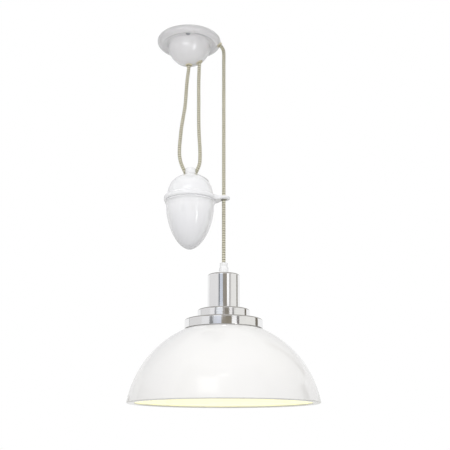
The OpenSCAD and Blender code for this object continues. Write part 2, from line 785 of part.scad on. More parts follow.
module cord_grip() {
    grip_r = grip_d / 2;
    nose_r = grip_r - 1.2;
    nose_h = 0.4 * grip_h;
    bore_r = flex_d / 2 + 0.4;
    color(white) at_lamp() difference() {
        rotate_extrude($fn = round_fn)
            polygon(concat(
                [[bore_r + 0.6, grip_z], [bore_r, grip_z - 0.8], [bore_r, tube_top_z]],
                [[grip_r, tube_top_z], [grip_r, grip_z - nose_h - 0.6], [grip_r - 0.6, grip_z - nose_h]],
                [[nose_r, grip_z - nose_h]],
                arc(nose_r - 1.5, grip_z - 1.5, 1.5, 0, 90, 5)));
        translate([0, 0, tube_top_z - 1])
            cylinder(r = entry_r + thread_gap, h = entry_up + 1.3, $fn = small_fn);
        translate([0, 0, grip_z - nose_h - 4])
            rotate([-90, 0, 0]) cylinder(d = 3.1, h = grip_r + 1, $fn = small_fn);
    }
}

module grip_screw() {
    color(nylon) at_lamp()
        translate([0, flex_d / 2 + 0.1, grip_z - 0.4 * grip_h - 4])
            rotate([-90, 0, 0])
                difference() {
                    cylinder(d = 3, h = grip_d / 2 - flex_d / 2 - 0.3, $fn = small_fn);
                    translate([-2, -0.3, grip_d / 2 - flex_d / 2 - 1.2]) cube([4, 0.6, 2]);
                }
}

module grip_cord() { color(braid) flex(grip_route); }

// Hollow threaded tube that joins grip, gallery and lampholder
module entry_tube() {
    color(zinc) at_lamp()
        translate([0, 0, holder_top_z + 8])
            difference() {
                cylinder(r = entry_r, h = tube_top_z + entry_up - holder_top_z - 8, $fn = small_fn);
                translate([0, 0, -1])
                    cylinder(r = entry_bore_r, h = 2 * tube_h, $fn = small_fn);
            }
}

module tube_nut() {
    color(zinc) at_lamp()
        translate([0, 0, tube_top_z - gallery_wall - tube_nut_h])
            difference() {
                cylinder(r = nut_flat_r, h = tube_nut_h, $fn = 6);
                translate([0, 0, -1])
                    cylinder(r = entry_r + thread_gap, h = tube_nut_h + 2, $fn = small_fn);
            }
}

// Corner of the spun gallery: outer bend at radius x and height z
function bend(x, z, r) = arc(x - r, z - r, r, 90, 0, 5);

module gallery() {
    w = gallery_wall;
    tube_r = tube_d / 2;
    step_r = step_d / 2;
    soft = 2.4;
    color(polished) at_lamp()
        rotate_extrude($fn = round_fn)
            polygon(concat(
                [[entry_r + 0.2, tube_top_z]], bend(tube_r, tube_top_z, soft),
                [[tube_r, step_top_z + 0.8], [tube_r + 0.8, step_top_z]],
                bend(step_r - 0.4, step_top_z, soft),
                [[step_r, skirt_top_z + 0.8], [step_r + 0.8, skirt_top_z]],
                bend(skirt_r, skirt_top_z, soft), [[skirt_r, skirt_bottom_z]],
                [[skirt_r - w, skirt_bottom_z], [skirt_r - w, skirt_top_z - soft]],
                [[skirt_r - soft, skirt_top_z - w], [step_r - w, skirt_top_z - w]],
                [[step_r - w - 0.4, step_top_z - soft], [step_r - soft - 0.4, step_top_z - w]],
                [[tube_r - w, step_top_z - w], [tube_r - w, tube_top_z - soft]],
                [[tube_r - soft, tube_top_z - w], [entry_r + 0.2, tube_top_z - w]]));
}

module holder_cap() {
    color(nylon) at_lamp()
        rotate_extrude($fn = round_fn)
            polygon([[entry_r + thread_gap, holder_neck_z], [holder_neck_r - 0.6, holder_neck_z],
                [holder_neck_r, holder_neck_z - 0.8], [holder_neck_r, holder_neck_z - 6],
                [holder_r - 2, holder_top_z + 2],
                [holder_r, holder_top_z], [holder_r, holder_top_z - 4], [holder_r - 2, holder_top_z - 4],
                [holder_r - 2, holder_top_z - 1],
                [entry_r + thread_gap, holder_neck_z - holder_cap_h / 2 - 0.5]]);
}

module holder_body() {
    inner = holder_r - 2;
    top = holder_top_z - 4;
    color(nylon) at_lamp()
        rotate_extrude($fn = round_fn)
            polygon([[inner, top], [holder_r, top], [holder_r, holder_flange_z + flange_t],
                [flange_r, holder_flange_z + flange_t], [flange_r, holder_flange_z],
                [holder_r, holder_flange_z], [holder_r, holder_bottom_z + 1],
                [holder_r - 1, holder_bottom_z], [inner, holder_bottom_z]]);
}

module holder_core() {
    color(white) at_lamp() difference() {
        translate([0, 0, core_z - core_h])
            cylinder(r = holder_r - 2 - thread_gap, h = core_h, $fn = round_fn);
        for (side = [-1, 1])
            translate([side * 10, 0, core_z - core_h - 1])
                cylinder(d = 3, h = core_h + 2, $fn = small_fn);
    }
}

module screw_shell() {
    color(brass) at_lamp()
        translate([0, 0, holder_bottom_z + 2])
            difference() {
                cylinder(r = shell_r, h = core_z - core_h - holder_bottom_z - 2, $fn = round_fn);
                translate([0, 0, -1])
                    cylinder(r = shell_r - shell_wall, h = core_z - holder_bottom_z, $fn = round_fn);
            }
}

module shade_washer() {
    color(nylon) at_lamp()
        translate([0, 0, crown_z])
            difference() {
                cylinder(r = flange_r, h = washer_t, $fn = round_fn);
                translate([0, 0, -1])
                    cylinder(r = shade_hole_r, h = washer_t + 2, $fn = round_fn);
            }
}

module shade_ring() {
    color(nylon) at_lamp()
        translate([0, 0, crown_z - shade_wall - shade_ring_h])
            difference() {
                union() {
                    cylinder(r = shade_ring_r - 3, h = shade_ring_h, $fn = round_fn);
                    translate([0, 0, shade_ring_h - 2]) cylinder(r = shade_ring_r, h = 2, $fn = round_fn);
                    for (a = [0:30:330])
                        rotate([0, 0, a])
                            translate([shade_ring_r - 4, -1, 0]) cube([2.4, 2, shade_ring_h - 2]);
                }
                translate([0, 0, -1])
                    cylinder(r = holder_r + thread_gap, h = shade_ring_h + 2, $fn = round_fn);
            }
}

module shade() {
    crown_angle = 90 - asin(crown_r / shade_sphere_r);
    rim_angle = asin((rim_z - shade_centre_z) / shade_sphere_r);
    lip_t = shade_wall;
    inner_rim_angle = asin((rim_z + lip_t + 2 - shade_centre_z) / shade_inner_r);
    inner_x = shade_inner_r * cos(inner_rim_angle);
    color(white) at_lamp()
        rotate_extrude($fn = round_fn)
            polygon(concat(
                [[shade_hole_r, crown_z]],
                arc(0, shade_centre_z, shade_sphere_r, crown_angle, rim_angle + 0.6, 34),
                arc(rim_r - 1.5, rim_z + 1.5, 1.5, 0, -90, 4),
                arc(rim_r - rim_lip + 1.5, rim_z + 1.5, 1.5, -90, -180, 4),
                arc(rim_r - rim_lip + 1.5, rim_z + lip_t - 1.5, 1.5, 180, 90, 3),
                [[inner_x - 3, rim_z + lip_t]],
                arc(0, shade_centre_z, shade_inner_r, inner_rim_angle, crown_angle, 34),
                [[crown_r - 1, crown_z - shade_wall], [shade_hole_r, crown_z - shade_wall]]));
}

module bulb_cap() {
    color(zinc) at_lamp()
        rotate_extrude($fn = round_fn)
            polygon([[0, bulb_top_z], [4, bulb_top_z], [4.5, bulb_top_z - 1], [bulb_cap_r, bulb_top_z - 4],
                [bulb_cap_r, bulb_top_z - bulb_cap_h], [bulb_cap_r - 0.6, bulb_top_z - bulb_cap_h],
                [bulb_cap_r - 0.6, bulb_top_z - 5], [0, bulb_top_z - 5]]);
}

module bulb_glass() {
    glass_t = 1;
    shoulder = 42;
    glass_r = bulb_d / 2;
    neck_r = bulb_cap_r - 0.8;
    ball_z = bulb_bottom_z + glass_r;
    top_z = bulb_top_z - bulb_cap_h + 4;
    throat_z = bulb_top_z - bulb_cap_h - 3;
    color(white) at_lamp()
        rotate_extrude($fn = round_fn)
            polygon(concat(
                [[neck_r, top_z], [neck_r, throat_z], [neck_r + 1, throat_z - 4],
                    [neck_r + 4, throat_z - 10]],
                arc(0, ball_z, glass_r, shoulder, -90, 18),
                arc(0, ball_z, glass_r - glass_t, -90, shoulder, 18),
                [[neck_r + 3, throat_z - 10], [neck_r, throat_z - 4],
                    [neck_r - glass_t, throat_z], [neck_r - glass_t, top_z]]));
}

ceiling_plate();
cover_posts();
rose_cover();
cover_screws();
pulley_cheeks();
cheek_rivets();
rose_pulley_pin();
rose_pulley();
bush_left();
bush_right();
side_bush();
cord_clamp();
clamp_screws();
terminal_block();
terminal_screws();
earth_screw();
anchor_cord();
cord_cores();
pulley_cord();
cord_left();
cord_right();
lamp_cord();
weight_cap();
weight_wheel();
wheel_pin();
loop_cord();
weight_clip();
guide_collar();
cap_disc();
tie_rod();
rod_nut();
ballast();
weight_bowl();
cord_grip();
grip_screw();
grip_cord();
entry_tube();
tube_nut();
gallery();
holder_cap();
holder_body();
holder_core();
screw_shell();
shade_washer();
shade_ring();
shade();
bulb_cap();
bulb_glass();
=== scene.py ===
import math

import bmesh
import bpy
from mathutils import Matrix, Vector


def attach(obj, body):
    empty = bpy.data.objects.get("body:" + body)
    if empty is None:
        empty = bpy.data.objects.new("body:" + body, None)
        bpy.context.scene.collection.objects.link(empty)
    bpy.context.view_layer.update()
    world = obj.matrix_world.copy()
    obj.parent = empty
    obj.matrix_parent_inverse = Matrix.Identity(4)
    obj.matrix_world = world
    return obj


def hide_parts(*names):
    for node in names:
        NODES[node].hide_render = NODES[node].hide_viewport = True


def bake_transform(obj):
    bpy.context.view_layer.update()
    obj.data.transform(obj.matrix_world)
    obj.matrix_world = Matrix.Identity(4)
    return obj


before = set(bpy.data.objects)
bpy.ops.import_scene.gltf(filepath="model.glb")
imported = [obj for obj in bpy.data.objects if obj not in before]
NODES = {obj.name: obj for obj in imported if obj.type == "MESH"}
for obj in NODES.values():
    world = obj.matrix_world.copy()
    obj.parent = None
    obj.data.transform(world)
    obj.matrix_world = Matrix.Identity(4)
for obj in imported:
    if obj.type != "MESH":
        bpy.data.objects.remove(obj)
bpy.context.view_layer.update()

MM = 0.001  # the part's sizes are written in millimetres, and Blender takes metres

ROSE = "rose_assembly"
WEIGHT = "counterweight"
LAMP = "lamp"
LAMP_X = 60.5  # the lamp's upright axis, to the right of the rose's
WEIGHT_X = 5.0  # the counterweight's axis
FLEX_R = 3.0

scene = bpy.context.scene


def add_object(name, data):
    made = bpy.data.objects.new(name, data)
    scene.collection.objects.link(made)
    return made


# Camera -----------------------------------------------------------------

CAMERA_PLACE = (0.0626, -1.2647, -0.6868)
CAMERA_RISE = 15.4  # degrees above level

camera_data = bpy.data.cameras.new("camera")
camera_data.lens = 64
camera_data.sensor_width = 36
camera = add_object("camera", camera_data)
camera.location = CAMERA_PLACE
camera.rotation_euler = (math.radians(90 + CAMERA_RISE), 0, 0)
scene.camera = camera


def linear(r, g, b):
    """A colour written 0 to 255 as the shader takes it."""
    def one(c):
        c /= 255
        return c / 12.92 if c <= 0.04045 else ((c + 0.055) / 1.055) ** 2.4
    return (one(r), one(g), one(b), 1)


# Shader helpers ---------------------------------------------------------

WHITE = (1, 1, 1, 1)


def node(tree, kind, inputs=None, **settings):
    """A node with its settings and inputs; an input that is another node's output is linked."""
    made = tree.nodes.new("ShaderNode" + kind)
    for name, value in settings.items():
        setattr(made, name, value)
    for key, value in (inputs or {}).items():
        if isinstance(value, bpy.types.NodeSocket):
            tree.links.new(value, made.inputs[key])
        else:
            made.inputs[key].default_value = value
    return made


def maths(tree, operation, a, b=None):
    inputs = {0: a} if b is None else {0: a, 1: b}
    return node(tree, "Math", inputs, operation=operation).outputs[0]


def multiplied(tree, colour, tone):
    return node(tree, "VectorMath", {0: colour, 1: tone}, operation="MULTIPLY").outputs[0]


def split(tree, vector):
    """The x, y and z of a vector."""
    return node(tree, "SeparateXYZ", {0: vector}).outputs


def noise(tree, place, scale, detail):
    return node(tree, "TexNoise", {"Vector": place, "Scale": scale, "Detail": detail}).outputs[0]


def remap(tree, value, low, high, to_low, to_high):
    return node(tree, "MapRange", {0: value, 1: low, 2: high, 3: to_low, 4: to_high}).outputs[0]


def ramp(tree, factor, stops):
    made = node(tree, "ValToRGB", {0: factor})
    elements = made.color_ramp.elements
    while len(elements) < len(stops):
        elements.new(0.5)
    for element, (position, colour) in zip(elements, stops):
        element.position = position
        element.color = colour
    return made.outputs[0]


def two_tone(tree, cloud, colour, other, reach=0.2):
    """Two colours by a noise's value, blended as far as the reach on both sides of its middle."""
    return ramp(tree, cloud, [(0.5 - reach, colour), (0.5 + reach, other)])


def object_place(tree):
    return node(tree, "TexCoord").outputs["Object"]


def blank(name, **sockets):
    """A new material, its tree and its Principled shader, with fixed values on the shader's own sockets."""
    material = bpy.data.materials.new(name)
    material.use_nodes = True
    shader = material.node_tree.nodes["Principled BSDF"]
    for key, value in sockets.items():
        shader.inputs[key.replace("_", " ")].default_value = value
    return material, material.node_tree, shader


def wire(tree, shader, colour, roughness=None):
    tree.links.new(colour, shader.inputs["Base Color"])
    if roughness is not None:
        tree.links.new(roughness, shader.inputs["Roughness"])


def bump(tree, shader, height, strength, distance, coated=False):
    """Relief on a shader, and on its clear coat where it has one."""
    relief = node(tree, "Bump", {"Height": height, "Strength": strength, "Distance": distance})
    tree.links.new(relief.outputs[0], shader.inputs["Normal"])
    if coated:
        tree.links.new(relief.outputs[0], shader.inputs["Coat Normal"])


# Materials --------------------------------------------------------------

def mottled(name, colour, other, scale, rough, rough_spread, relief, relief_scale, **sockets):
    """Two close colours in clouds, with roughness that varies and a fine bump."""
    material, tree, shader = blank(name, **sockets)
    place = object_place(tree)
    cloud = noise(tree, place, scale, 4)
    fine = noise(tree, place, relief_scale, 3)
    spread = maths(tree, "MULTIPLY", maths(tree, "SUBTRACT", fine, 0.5), rough_spread)
    wire(tree, shader, two_tone(tree, cloud, colour, other, 0.15), maths(tree, "ADD", spread, rough))
    bump(tree, shader, fine, relief, 0.0004)
    return material


def glaze(name, colour, other, ripple):
    """Glazed porcelain: a clear coat over a softly mottled body, with a slow ripple and fine pits."""
    pit_reach, pit_floor, pit_share = 0.10, 0.3, 0.05
    rough, rough_spread = 0.09, 0.06
    material, tree, shader = blank(name, Coat_Weight=1.0, Coat_Roughness=0.015, Coat_IOR=1.5)
    place = object_place(tree)
    cloud = noise(tree, place, 28, 3)
    slow = noise(tree, place, 90, 2)
    speck = node(tree, "TexVoronoi", {"Vector": place, "Scale": 420}).outputs[0]
    pits = ramp(tree, speck, [(0.0, (pit_floor, pit_floor, pit_floor, 1)), (pit_reach, WHITE)])
    spread = maths(tree, "MULTIPLY", slow, rough_spread)
    wire(tree, shader, two_tone(tree, cloud, colour, other), maths(tree, "ADD", spread, rough))
    height = maths(tree, "ADD", slow, maths(tree, "MULTIPLY", pits, pit_share))
    bump(tree, shader, height, ripple, 0.0006, coated=True)
    return material


PAINTED_BEND_REFLECTION_TONES = [  # painted dark reflections, by how far a face looks up or down: upright walls stay bright, bends and roots are painted dark
    (0.08, WHITE), (0.3, (0.4, 0.385, 0.36, 1)), (0.85, (0.42, 0.40, 0.38, 1)), (1.0, (0.8, 0.8, 0.79, 1))]


def spun_metal(name, colour, other, rough, lines, relief):
    """Metal turned on a lathe: fine rings round the lamp's axis, cloudy polish, and painted dark reflections
    on the bends and roots.
    """
    ring_share, cloud_share = 0.05, 0.04
    material, tree, shader = blank(name, Metallic=1)
    place = object_place(tree)
    centred = split(tree, node(tree, "Mapping", {0: place, 1: (-LAMP_X * MM, 0, 0)}).outputs[0])
    squares = [maths(tree, "POWER", centred[k], 2) for k in (0, 1)]
    radius = maths(tree, "SQRT", maths(tree, "ADD", *squares))
    along = maths(tree, "MULTIPLY", maths(tree, "SUBTRACT", centred[2], radius), lines)
    rings = node(tree, "TexNoise", {"W": along, "Scale": 1, "Detail": 4}, noise_dimensions="1D").outputs[0]
    cloud = noise(tree, place, 35, 3)
    facing = split(tree, node(tree, "NewGeometry").outputs["Normal"])[2]
    # Painted reflection: the colour darkens where a face tilts, for the dark lines that the bends and roots
    # mirror.
    painted_bend_reflection = ramp(tree, maths(tree, "ABSOLUTE", facing), PAINTED_BEND_REFLECTION_TONES)
    ring_part = maths(tree, "MULTIPLY", rings, ring_share)
    cloud_part = maths(tree, "MULTIPLY", cloud, cloud_share)
    roughness = maths(tree, "ADD", maths(tree, "ADD", ring_part, cloud_part), rough)
    wire(tree, shader, multiplied(tree, two_tone(tree, cloud, colour, other), painted_bend_reflection), roughness)
    bump(tree, shader, rings, relief, 0.0002)
    return material


BRAID_STRANDS = 8  # round the flex
BRAID_ALONG = 9.4  # strands in one circumference of length
BRAID_PALE = linear(229, 225, 203)
BRAID_DARK = linear(104, 96, 68)


def braided(name):
    """Two-tone braid over the flex: strands cross both ways round it, with darker dashes in rows and painted
    shade in the grooves between strands.
    """
    lost = 0.7  # the share of a dash's darkness that is lost where the other way's strand is on top
    material, tree, shader = blank(name, Roughness=0.86, Sheen_Weight=0.25, Sheen_Roughness=0.5)
    place = split(tree, node(tree, "UVMap").outputs[0])
    u = maths(tree, "MULTIPLY", place[0], BRAID_STRANDS)
    v = maths(tree, "MULTIPLY", place[1], BRAID_ALONG)
    ways = [maths(tree, "ADD", u, v), maths(tree, "SUBTRACT", u, v)]
    heights = []
    for way in ways:
        across = maths(tree, "SUBTRACT", maths(tree, "FRACT", way), 0.5)
        edge = maths(tree, "ABSOLUTE", maths(tree, "MULTIPLY", across, 2))
        heights.append(maths(tree, "SUBTRACT", 1, maths(tree, "POWER", edge, 2)))
    cells = [maths(tree, "FLOOR", way) for way in ways]
    over = maths(tree, "MODULO", maths(tree, "ABSOLUTE", maths(tree, "ADD", *cells)), 2)
    height = node(tree, "Mix", {0: over, 2: heights[0], 3: heights[1]}, data_type="FLOAT").outputs[0]
    row = maths(tree, "FLOOR", maths(tree, "MULTIPLY", maths(tree, "SUBTRACT", *cells), 0.5))
    odd = maths(tree, "MODULO", maths(tree, "ABSOLUTE", row), 2)
    dark = maths(tree, "MULTIPLY", odd, maths(tree, "SUBTRACT", 1, maths(tree, "MULTIPLY", over, lost)))
    base = node(tree, "Mix", {0: dark, 6: BRAID_PALE, 7: BRAID_DARK}, data_type="RGBA").outputs[2]
    yarn = noise(tree, object_place(tree), 2600, 2)
    # Painted shade: the colour darkens in the grooves between the strands.
    groove_painted_shade = remap(tree, height, 0.0, 0.7, 0.62, 1.0)
    fuzz = remap(tree, yarn, 0.3, 0.7, 0.86, 1.08)
    wire(tree, shader, multiplied(tree, base, maths(tree, "MULTIPLY", groove_painted_shade, fuzz)))
    lift = maths(tree, "ADD", height, maths(tree, "MULTIPLY", yarn, 0.3))
    bump(tree, shader, lift, 0.6, 0.0003)
    return material


def opal(name, colour, other, glow, glow_strength, **sockets):
    """Opal glass lit by the bulb: a glossy white skin over a body that glows a little."""
    rough, rough_spread = 0.1, 0.05
    material, tree, shader = blank(name, Coat_Weight=0.5, Coat_Roughness=0.02, Emission_Color=glow,
                                   Emission_Strength=glow_strength, **sockets)
    place = object_place(tree)
    cloud = noise(tree, place, 9, 3)
    slow = noise(tree, place, 30, 1)
    spread = maths(tree, "MULTIPLY", slow, rough_spread)
    wire(tree, shader, two_tone(tree, cloud, colour, other), maths(tree, "ADD", spread, rough))
    bump(tree, shader, slow, 0.05, 0.002, coated=True)
    return material


def plain_light(name, colour, strength):
    material = bpy.data.materials.new(name)
    material.use_nodes = True
    tree = material.node_tree
    tree.nodes.clear()
    glow = node(tree, "Emission", {"Color": colour, "Strength": strength})
    out = node(tree, "OutputMaterial")
    tree.links.new(glow.outputs[0], out.inputs[0])
    return material


# The rose's glaze is painted darker than the weight's: painted shade for the dimmer light at the ceiling.
ROSE_GLAZE_SHADED = glaze("rose_glaze", linear(227, 226, 227), linear(231, 230, 231), 0.08)
WEIGHT_GLAZE = glaze("weight_glaze", linear(241, 241, 243), linear(244, 244, 245), 0.06)
POLISHED = spun_metal("polished_metal", (0.92, 0.92, 0.93, 1), (0.96, 0.96, 0.96, 1), 0.035, 900, 0.05)
ZINC = mottled("zinc_plate", linear(196, 198, 202), linear(176, 180, 186), 220, 0.36, 0.2, 0.2, 900,
               Metallic=0.95)
DARK_STEEL = mottled("dark_steel", linear(132, 130, 128), linear(108, 106, 104), 300, 0.5, 0.2, 0.15, 1200,
                     Metallic=0.3)
STEEL = mottled("steel", linear(178, 180, 184), linear(150, 152, 156), 300, 0.28, 0.2, 0.15, 1200, Metallic=1)
BRASS = mottled("brass", linear(208, 178, 112), linear(186, 152, 88), 240, 0.3, 0.2, 0.15, 1000, Metallic=1)
IRON = mottled("iron", linear(86, 86, 88), linear(66, 66, 68), 160, 0.7, 0.3, 0.6, 500, Metallic=0.7)
BUSH = mottled("bush_beige", linear(222, 214, 186), linear(210, 202, 172), 260, 0.5, 0.2, 0.2, 900)
NYLON = mottled("nylon", linear(232, 231, 224), linear(224, 222, 214), 120, 0.42, 0.15, 0.15, 700)
GRIP_WHITE = mottled("white_plastic", linear(243, 243, 243), linear(239, 239, 240), 140, 0.26, 0.1, 0.1, 700)
CORE_CERAMIC = mottled("core_ceramic", linear(238, 237, 232), linear(230, 229, 223), 150, 0.5, 0.2, 0.3, 800)
# Painted shadow: a dark colour for the inside of the eye's hole, where shade falls.
EYE_BORE_SHADOW = mottled("eye_bore_painted_shadow", linear(112, 106, 96), linear(92, 86, 78), 300, 0.8, 0.2, 0.3, 900)
BRAID = braided("flex_braid")
CORE = mottled("core_insulation", linear(220, 214, 196), linear(208, 202, 186), 300, 0.5, 0.2, 0.2, 900)
OPAL_OUT = opal("opal_outside", linear(235, 234, 233), linear(238, 237, 235), linear(255, 253, 250), 0.03)
# The inside is painted paler and warmer, with a stronger glow: painted lamplight from the bulb. The rim's lip
# is painted darker: painted shade on its downward face.
OPAL_IN_LAMPLIT = opal("opal_inside_painted_lamplight", linear(250, 249, 235), linear(251, 250, 238), linear(255, 250, 198), 0.40)
OPAL_RIM_SHADED = opal("opal_rim_painted_shade", linear(214, 213, 209), linear(220, 219, 215), linear(255, 253, 244), 0.08)
BULB = opal("bulb_opal", linear(255, 253, 240), linear(255, 254, 244), linear(255, 244, 205), 0.9)
BULB_CAP = mottled("bulb_metal", linear(214, 214, 214), linear(200, 200, 202), 240, 0.3, 0.2, 0.15, 900,
                   Metallic=1)


# Mesh helpers -----------------------------------------------------------

def arc(x, z, r, start, end, steps):
    """Points round a centre, as radius and height in millimetres, between two directions in degrees."""
    turns = [math.radians(start + (end - start) * i / steps) for i in range(steps + 1)]
    return [(x + r * math.cos(turn), z + r * math.sin(turn)) for turn in turns]


def between(here, there, t):
    """The point a share t of the way from one point to another."""
    return tuple(a + (b - a) * t for a, b in zip(here, there))


def meshed(name, build):
    """A mesh of what a bmesh holds; the bmesh is freed."""
    mesh = bpy.data.meshes.new(name)
    build.to_mesh(mesh)
    build.free()
    return mesh


def finish_mesh(name, mesh, materials, body, replaced, sharp=40):
    for material in materials:
        mesh.materials.append(material)
    mesh.shade_smooth()
    if sharp:
        mesh.set_sharp_from_angle(angle=math.radians(sharp))
    piece = add_object(name, mesh)
    if body:
        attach(piece, body)
    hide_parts(*replaced)
    return piece


def lathe_mesh(name, profile, centre_x, segments, pick=None):
    """A closed outline, as radius and height in millimetres, turned round an upright axis."""
    build = bmesh.new()
    columns = []
    for k in range(segments):
        turn = 2 * math.pi * k / segments
        column = []
        for r, z in profile:
            if r < 1e-6 and k:
                column.append(columns[0][len(column)])
            else:
                column.append(build.verts.new(
                    ((centre_x + r * math.cos(turn)) * MM, r * math.sin(turn) * MM, z * MM)))
        columns.append(column)
    count = len(profile)
    for k in range(segments):
        here, there = columns[k], columns[(k + 1) % segments]
        for i in range(count):
            j = (i + 1) % count
            corners = []
            for vert in (here[i], here[j], there[j], there[i]):
                if vert not in corners:
                    corners.append(vert)
            if len(corners) > 2:
                face = build.faces.new(corners)
                if pick:
                    face.material_index = pick(i)
    bmesh.ops.recalc_face_normals(build, faces=build.faces)
    return meshed(name, build)


def lathe(name, profile, centre_x, material, body, replaced, segments, sharp=40):
    mesh = lathe_mesh(name, profile, centre_x, segments)
    return finish_mesh(name, mesh, [material], body, replaced, sharp)


def smooth_route(points, step):
    """A smooth line through given points, in millimetres, with one sample about every step."""
    line = []
    for i in range(len(points) - 1):
        p0 = points[max(i - 1, 0)]
        p1, p2 = points[i], points[i + 1]
        p3 = points[min(i + 2, len(points) - 1)]
        d0 = math.dist(p0, p1) or math.dist(p1, p2)
        d1 = math.dist(p1, p2)
        d2 = math.dist(p2, p3) or d1
        m1 = [d1 * ((p2[k] - p1[k]) / d1 - (p2[k] - p0[k]) / (d0 + d1) + (p1[k] - p0[k]) / d0)
              if p0 != p1 else p2[k] - p1[k] for k in (0, 1)]
        m2 = [d1 * ((p3[k] - p2[k]) / d2 - (p3[k] - p1[k]) / (d1 + d2) + (p2[k] - p1[k]) / d1)
              if p3 != p2 else p2[k] - p1[k] for k in (0, 1)]
        parts = max(1, round(d1 / step))
        for n in range(parts):
            t = n / parts
            a, b = 2 * t ** 3 - 3 * t ** 2 + 1, t ** 3 - 2 * t ** 2 + t
            c, d = -2 * t ** 3 + 3 * t ** 2, t ** 3 - t ** 2
            line.append([a * p1[k] + b * m1[k] + c * p2[k] + d * m2[k] for k in (0, 1)])
    line.append(list(points[-1]))
    return line


def braid_height(u, v):
    """How far the braid stands out, 0 to 1, at a place round and along the flex in strands."""
    a, b = u + v, u - v
    over = (math.floor(a) + math.floor(b)) % 2
    across = (b if over else a) % 1 - 0.5
    return 1 - (2 * across) ** 2


FLEX_SIDES, FLEX_STEP = 40, 0.5
BRAID_DEPTH = 0.16


def flex(name, route, body, replaced):
    """A length of braided flex along a route in the plane of the pulleys."""
    line = smooth_route(route, FLEX_STEP)
    round_length = 2 * math.pi * FLEX_R
    build = bmesh.new()
    uv = build.loops.layers.uv.new("UVMap")
    rings, places = [], []
    travelled = 0.0
    for i, (x, z) in enumerate(line):
        ahead, behind = line[min(i + 1, len(line) - 1)], line[max(i - 1, 0)]
        if i:
            travelled += math.dist(line[i - 1], line[i])
        tx, tz = ahead[0] - behind[0], ahead[1] - behind[1]
        norm = math.hypot(tx, tz)
        tx, tz = tx / norm, tz / norm
        along = travelled / round_length
        ring = []
        for k in range(FLEX_SIDES):
            turn = 2 * math.pi * k / FLEX_SIDES
            height = braid_height(BRAID_STRANDS * k / FLEX_SIDES, BRAID_ALONG * along)
            r = FLEX_R - BRAID_DEPTH * (1 - height)
            out, side = r * math.cos(turn), r * math.sin(turn)
            ring.append(build.verts.new(((x - tz * out) * MM, side * MM, (z + tx * out) * MM)))
        rings.append(ring)
        places.append(along)
    for i in range(len(rings) - 1):
        for k in range(FLEX_SIDES):
            n = (k + 1) % FLEX_SIDES
            face = build.faces.new((rings[i][k], rings[i][n], rings[i + 1][n], rings[i + 1][k]))
            for loop, (u, v) in zip(face.loops, (
                    (k, places[i]), (k + 1, places[i]), (k + 1, places[i + 1]), (k, places[i + 1]))):
                loop[uv].uv = (u / FLEX_SIDES, v)
    build.faces.new(rings[0])
    build.faces.new(rings[-1])
    bmesh.ops.recalc_face_normals(build, faces=build.faces)
    piece = finish_mesh(name, meshed(name, build), [BRAID], body, replaced, sharp=0)
    return piece, line


def modified(piece):
    """A new mesh of a piece with its modifiers applied."""
    bpy.context.view_layer.update()
    shown = piece.evaluated_get(bpy.context.evaluated_depsgraph_get())
    return bpy.data.meshes.new_from_object(shown)


SHARP_WHEN_CUT = 35


def carve(piece, cutters):
    """Cuts solids out of a piece, keeps its smooth shading, and removes the cutters."""
    for cutter in cutters:
        cut = piece.modifiers.new("cut", "BOOLEAN")
        cut.operation = "DIFFERENCE"
        cut.solver = "EXACT"
        cut.object = cutter
    mesh = modified(piece)
    piece.modifiers.clear()
    old = piece.data
    piece.data = mesh
    bpy.data.meshes.remove(old)
    mesh.shade_smooth()
    mesh.set_sharp_from_angle(angle=math.radians(SHARP_WHEN_CUT))
    for cutter in cutters:
        data = cutter.data
        bpy.data.objects.remove(cutter)
        bpy.data.meshes.remove(data)


def rod(start, direction, radius, length, sides=48):
    """A round cutter that starts at a point, in millimetres, and runs along a direction."""
    build = bmesh.new()
    bmesh.ops.create_cone(build, cap_ends=True, segments=sides, radius1=radius * MM, radius2=radius * MM,
                          depth=length * MM)
    turn = Vector((0, 0, 1)).rotation_difference(Vector(direction)).to_matrix()
    middle = Vector(start) * MM + Vector(direction).normalized() * length * MM / 2
    for vert in build.verts:
        vert.co = turn @ vert.co + middle
    return add_object("cutter", meshed("cutter", build))


def block(low, high):
    """A box-shaped cutter between two corners, in millimetres."""
    build = bmesh.new()
    bmesh.ops.create_cube(build, size=1)
    for vert in build.verts:
        vert.co = [((low[k] + high[k]) / 2 + vert.co[k] * (high[k] - low[k])) * MM for k in range(3)]
    return add_object("cutter", meshed("cutter", build))


# Flex -------------------------------------------------------------------

# Routes across and up, in millimetres. LOOP is from the weight's axis, the others from the rose's.
LEFT = [(0, -46.2), (-0.4, -58), (-2.3, -76), (-3.7, -94), (-4.6, -112), (-5.9, -130), (-8.5, -148),
        (-11.1, -166), (-12.7, -184), (-14, -202), (-13.6, -219), (-11, -231), (-7.6, -239.5), (-4.6, -246.3)]
RIGHT = [(18, -50.4), (17.7, -62), (17.3, -80), (17.3, -98), (17.6, -116), (17.7, -134), (17.9, -152),
         (18.3, -170), (19.2, -188), (20.3, -204), (20.6, -219), (20, -231), (17.6, -239.5), (14.6, -246.3)]
LOOP = [(-9.5, -246.5), (-8.1, -249.65), (-6.4, -253.2), (-3.6, -256.4), (0, -257.3),
        (3.6, -256.4), (6.4, -253.2), (8.1, -249.65), (9.5, -246.5)]
OVER = [(18, -50), (17.7, -45.5), (16.3, -40), (15.2, -30), (14, -20), (13.3, -13.5),
        (14, -10.2), (15.8, -7.3), (18.7, -5.4), (22, -4.8), (32, -4.8), (42.3, -4.9),
        (46.5, -6.3), (49.2, -8.2), (53.9, -12.9), (57.6, -17.6), (59.9, -23.4), (60.5, -27.5), (60.5, -30)]
ANCHOR = [(0, -46), (0, -32), (0, -20), (-0.7, -14.5), (-3, -10.8), (-6.5, -8), (-11, -7), (-17.8, -7)]
DOWN = [(LAMP_X, -30 - 18.7 * i) for i in range(21)]
GRIP = [(LAMP_X, -404), (LAMP_X, -420), (LAMP_X, -436)]

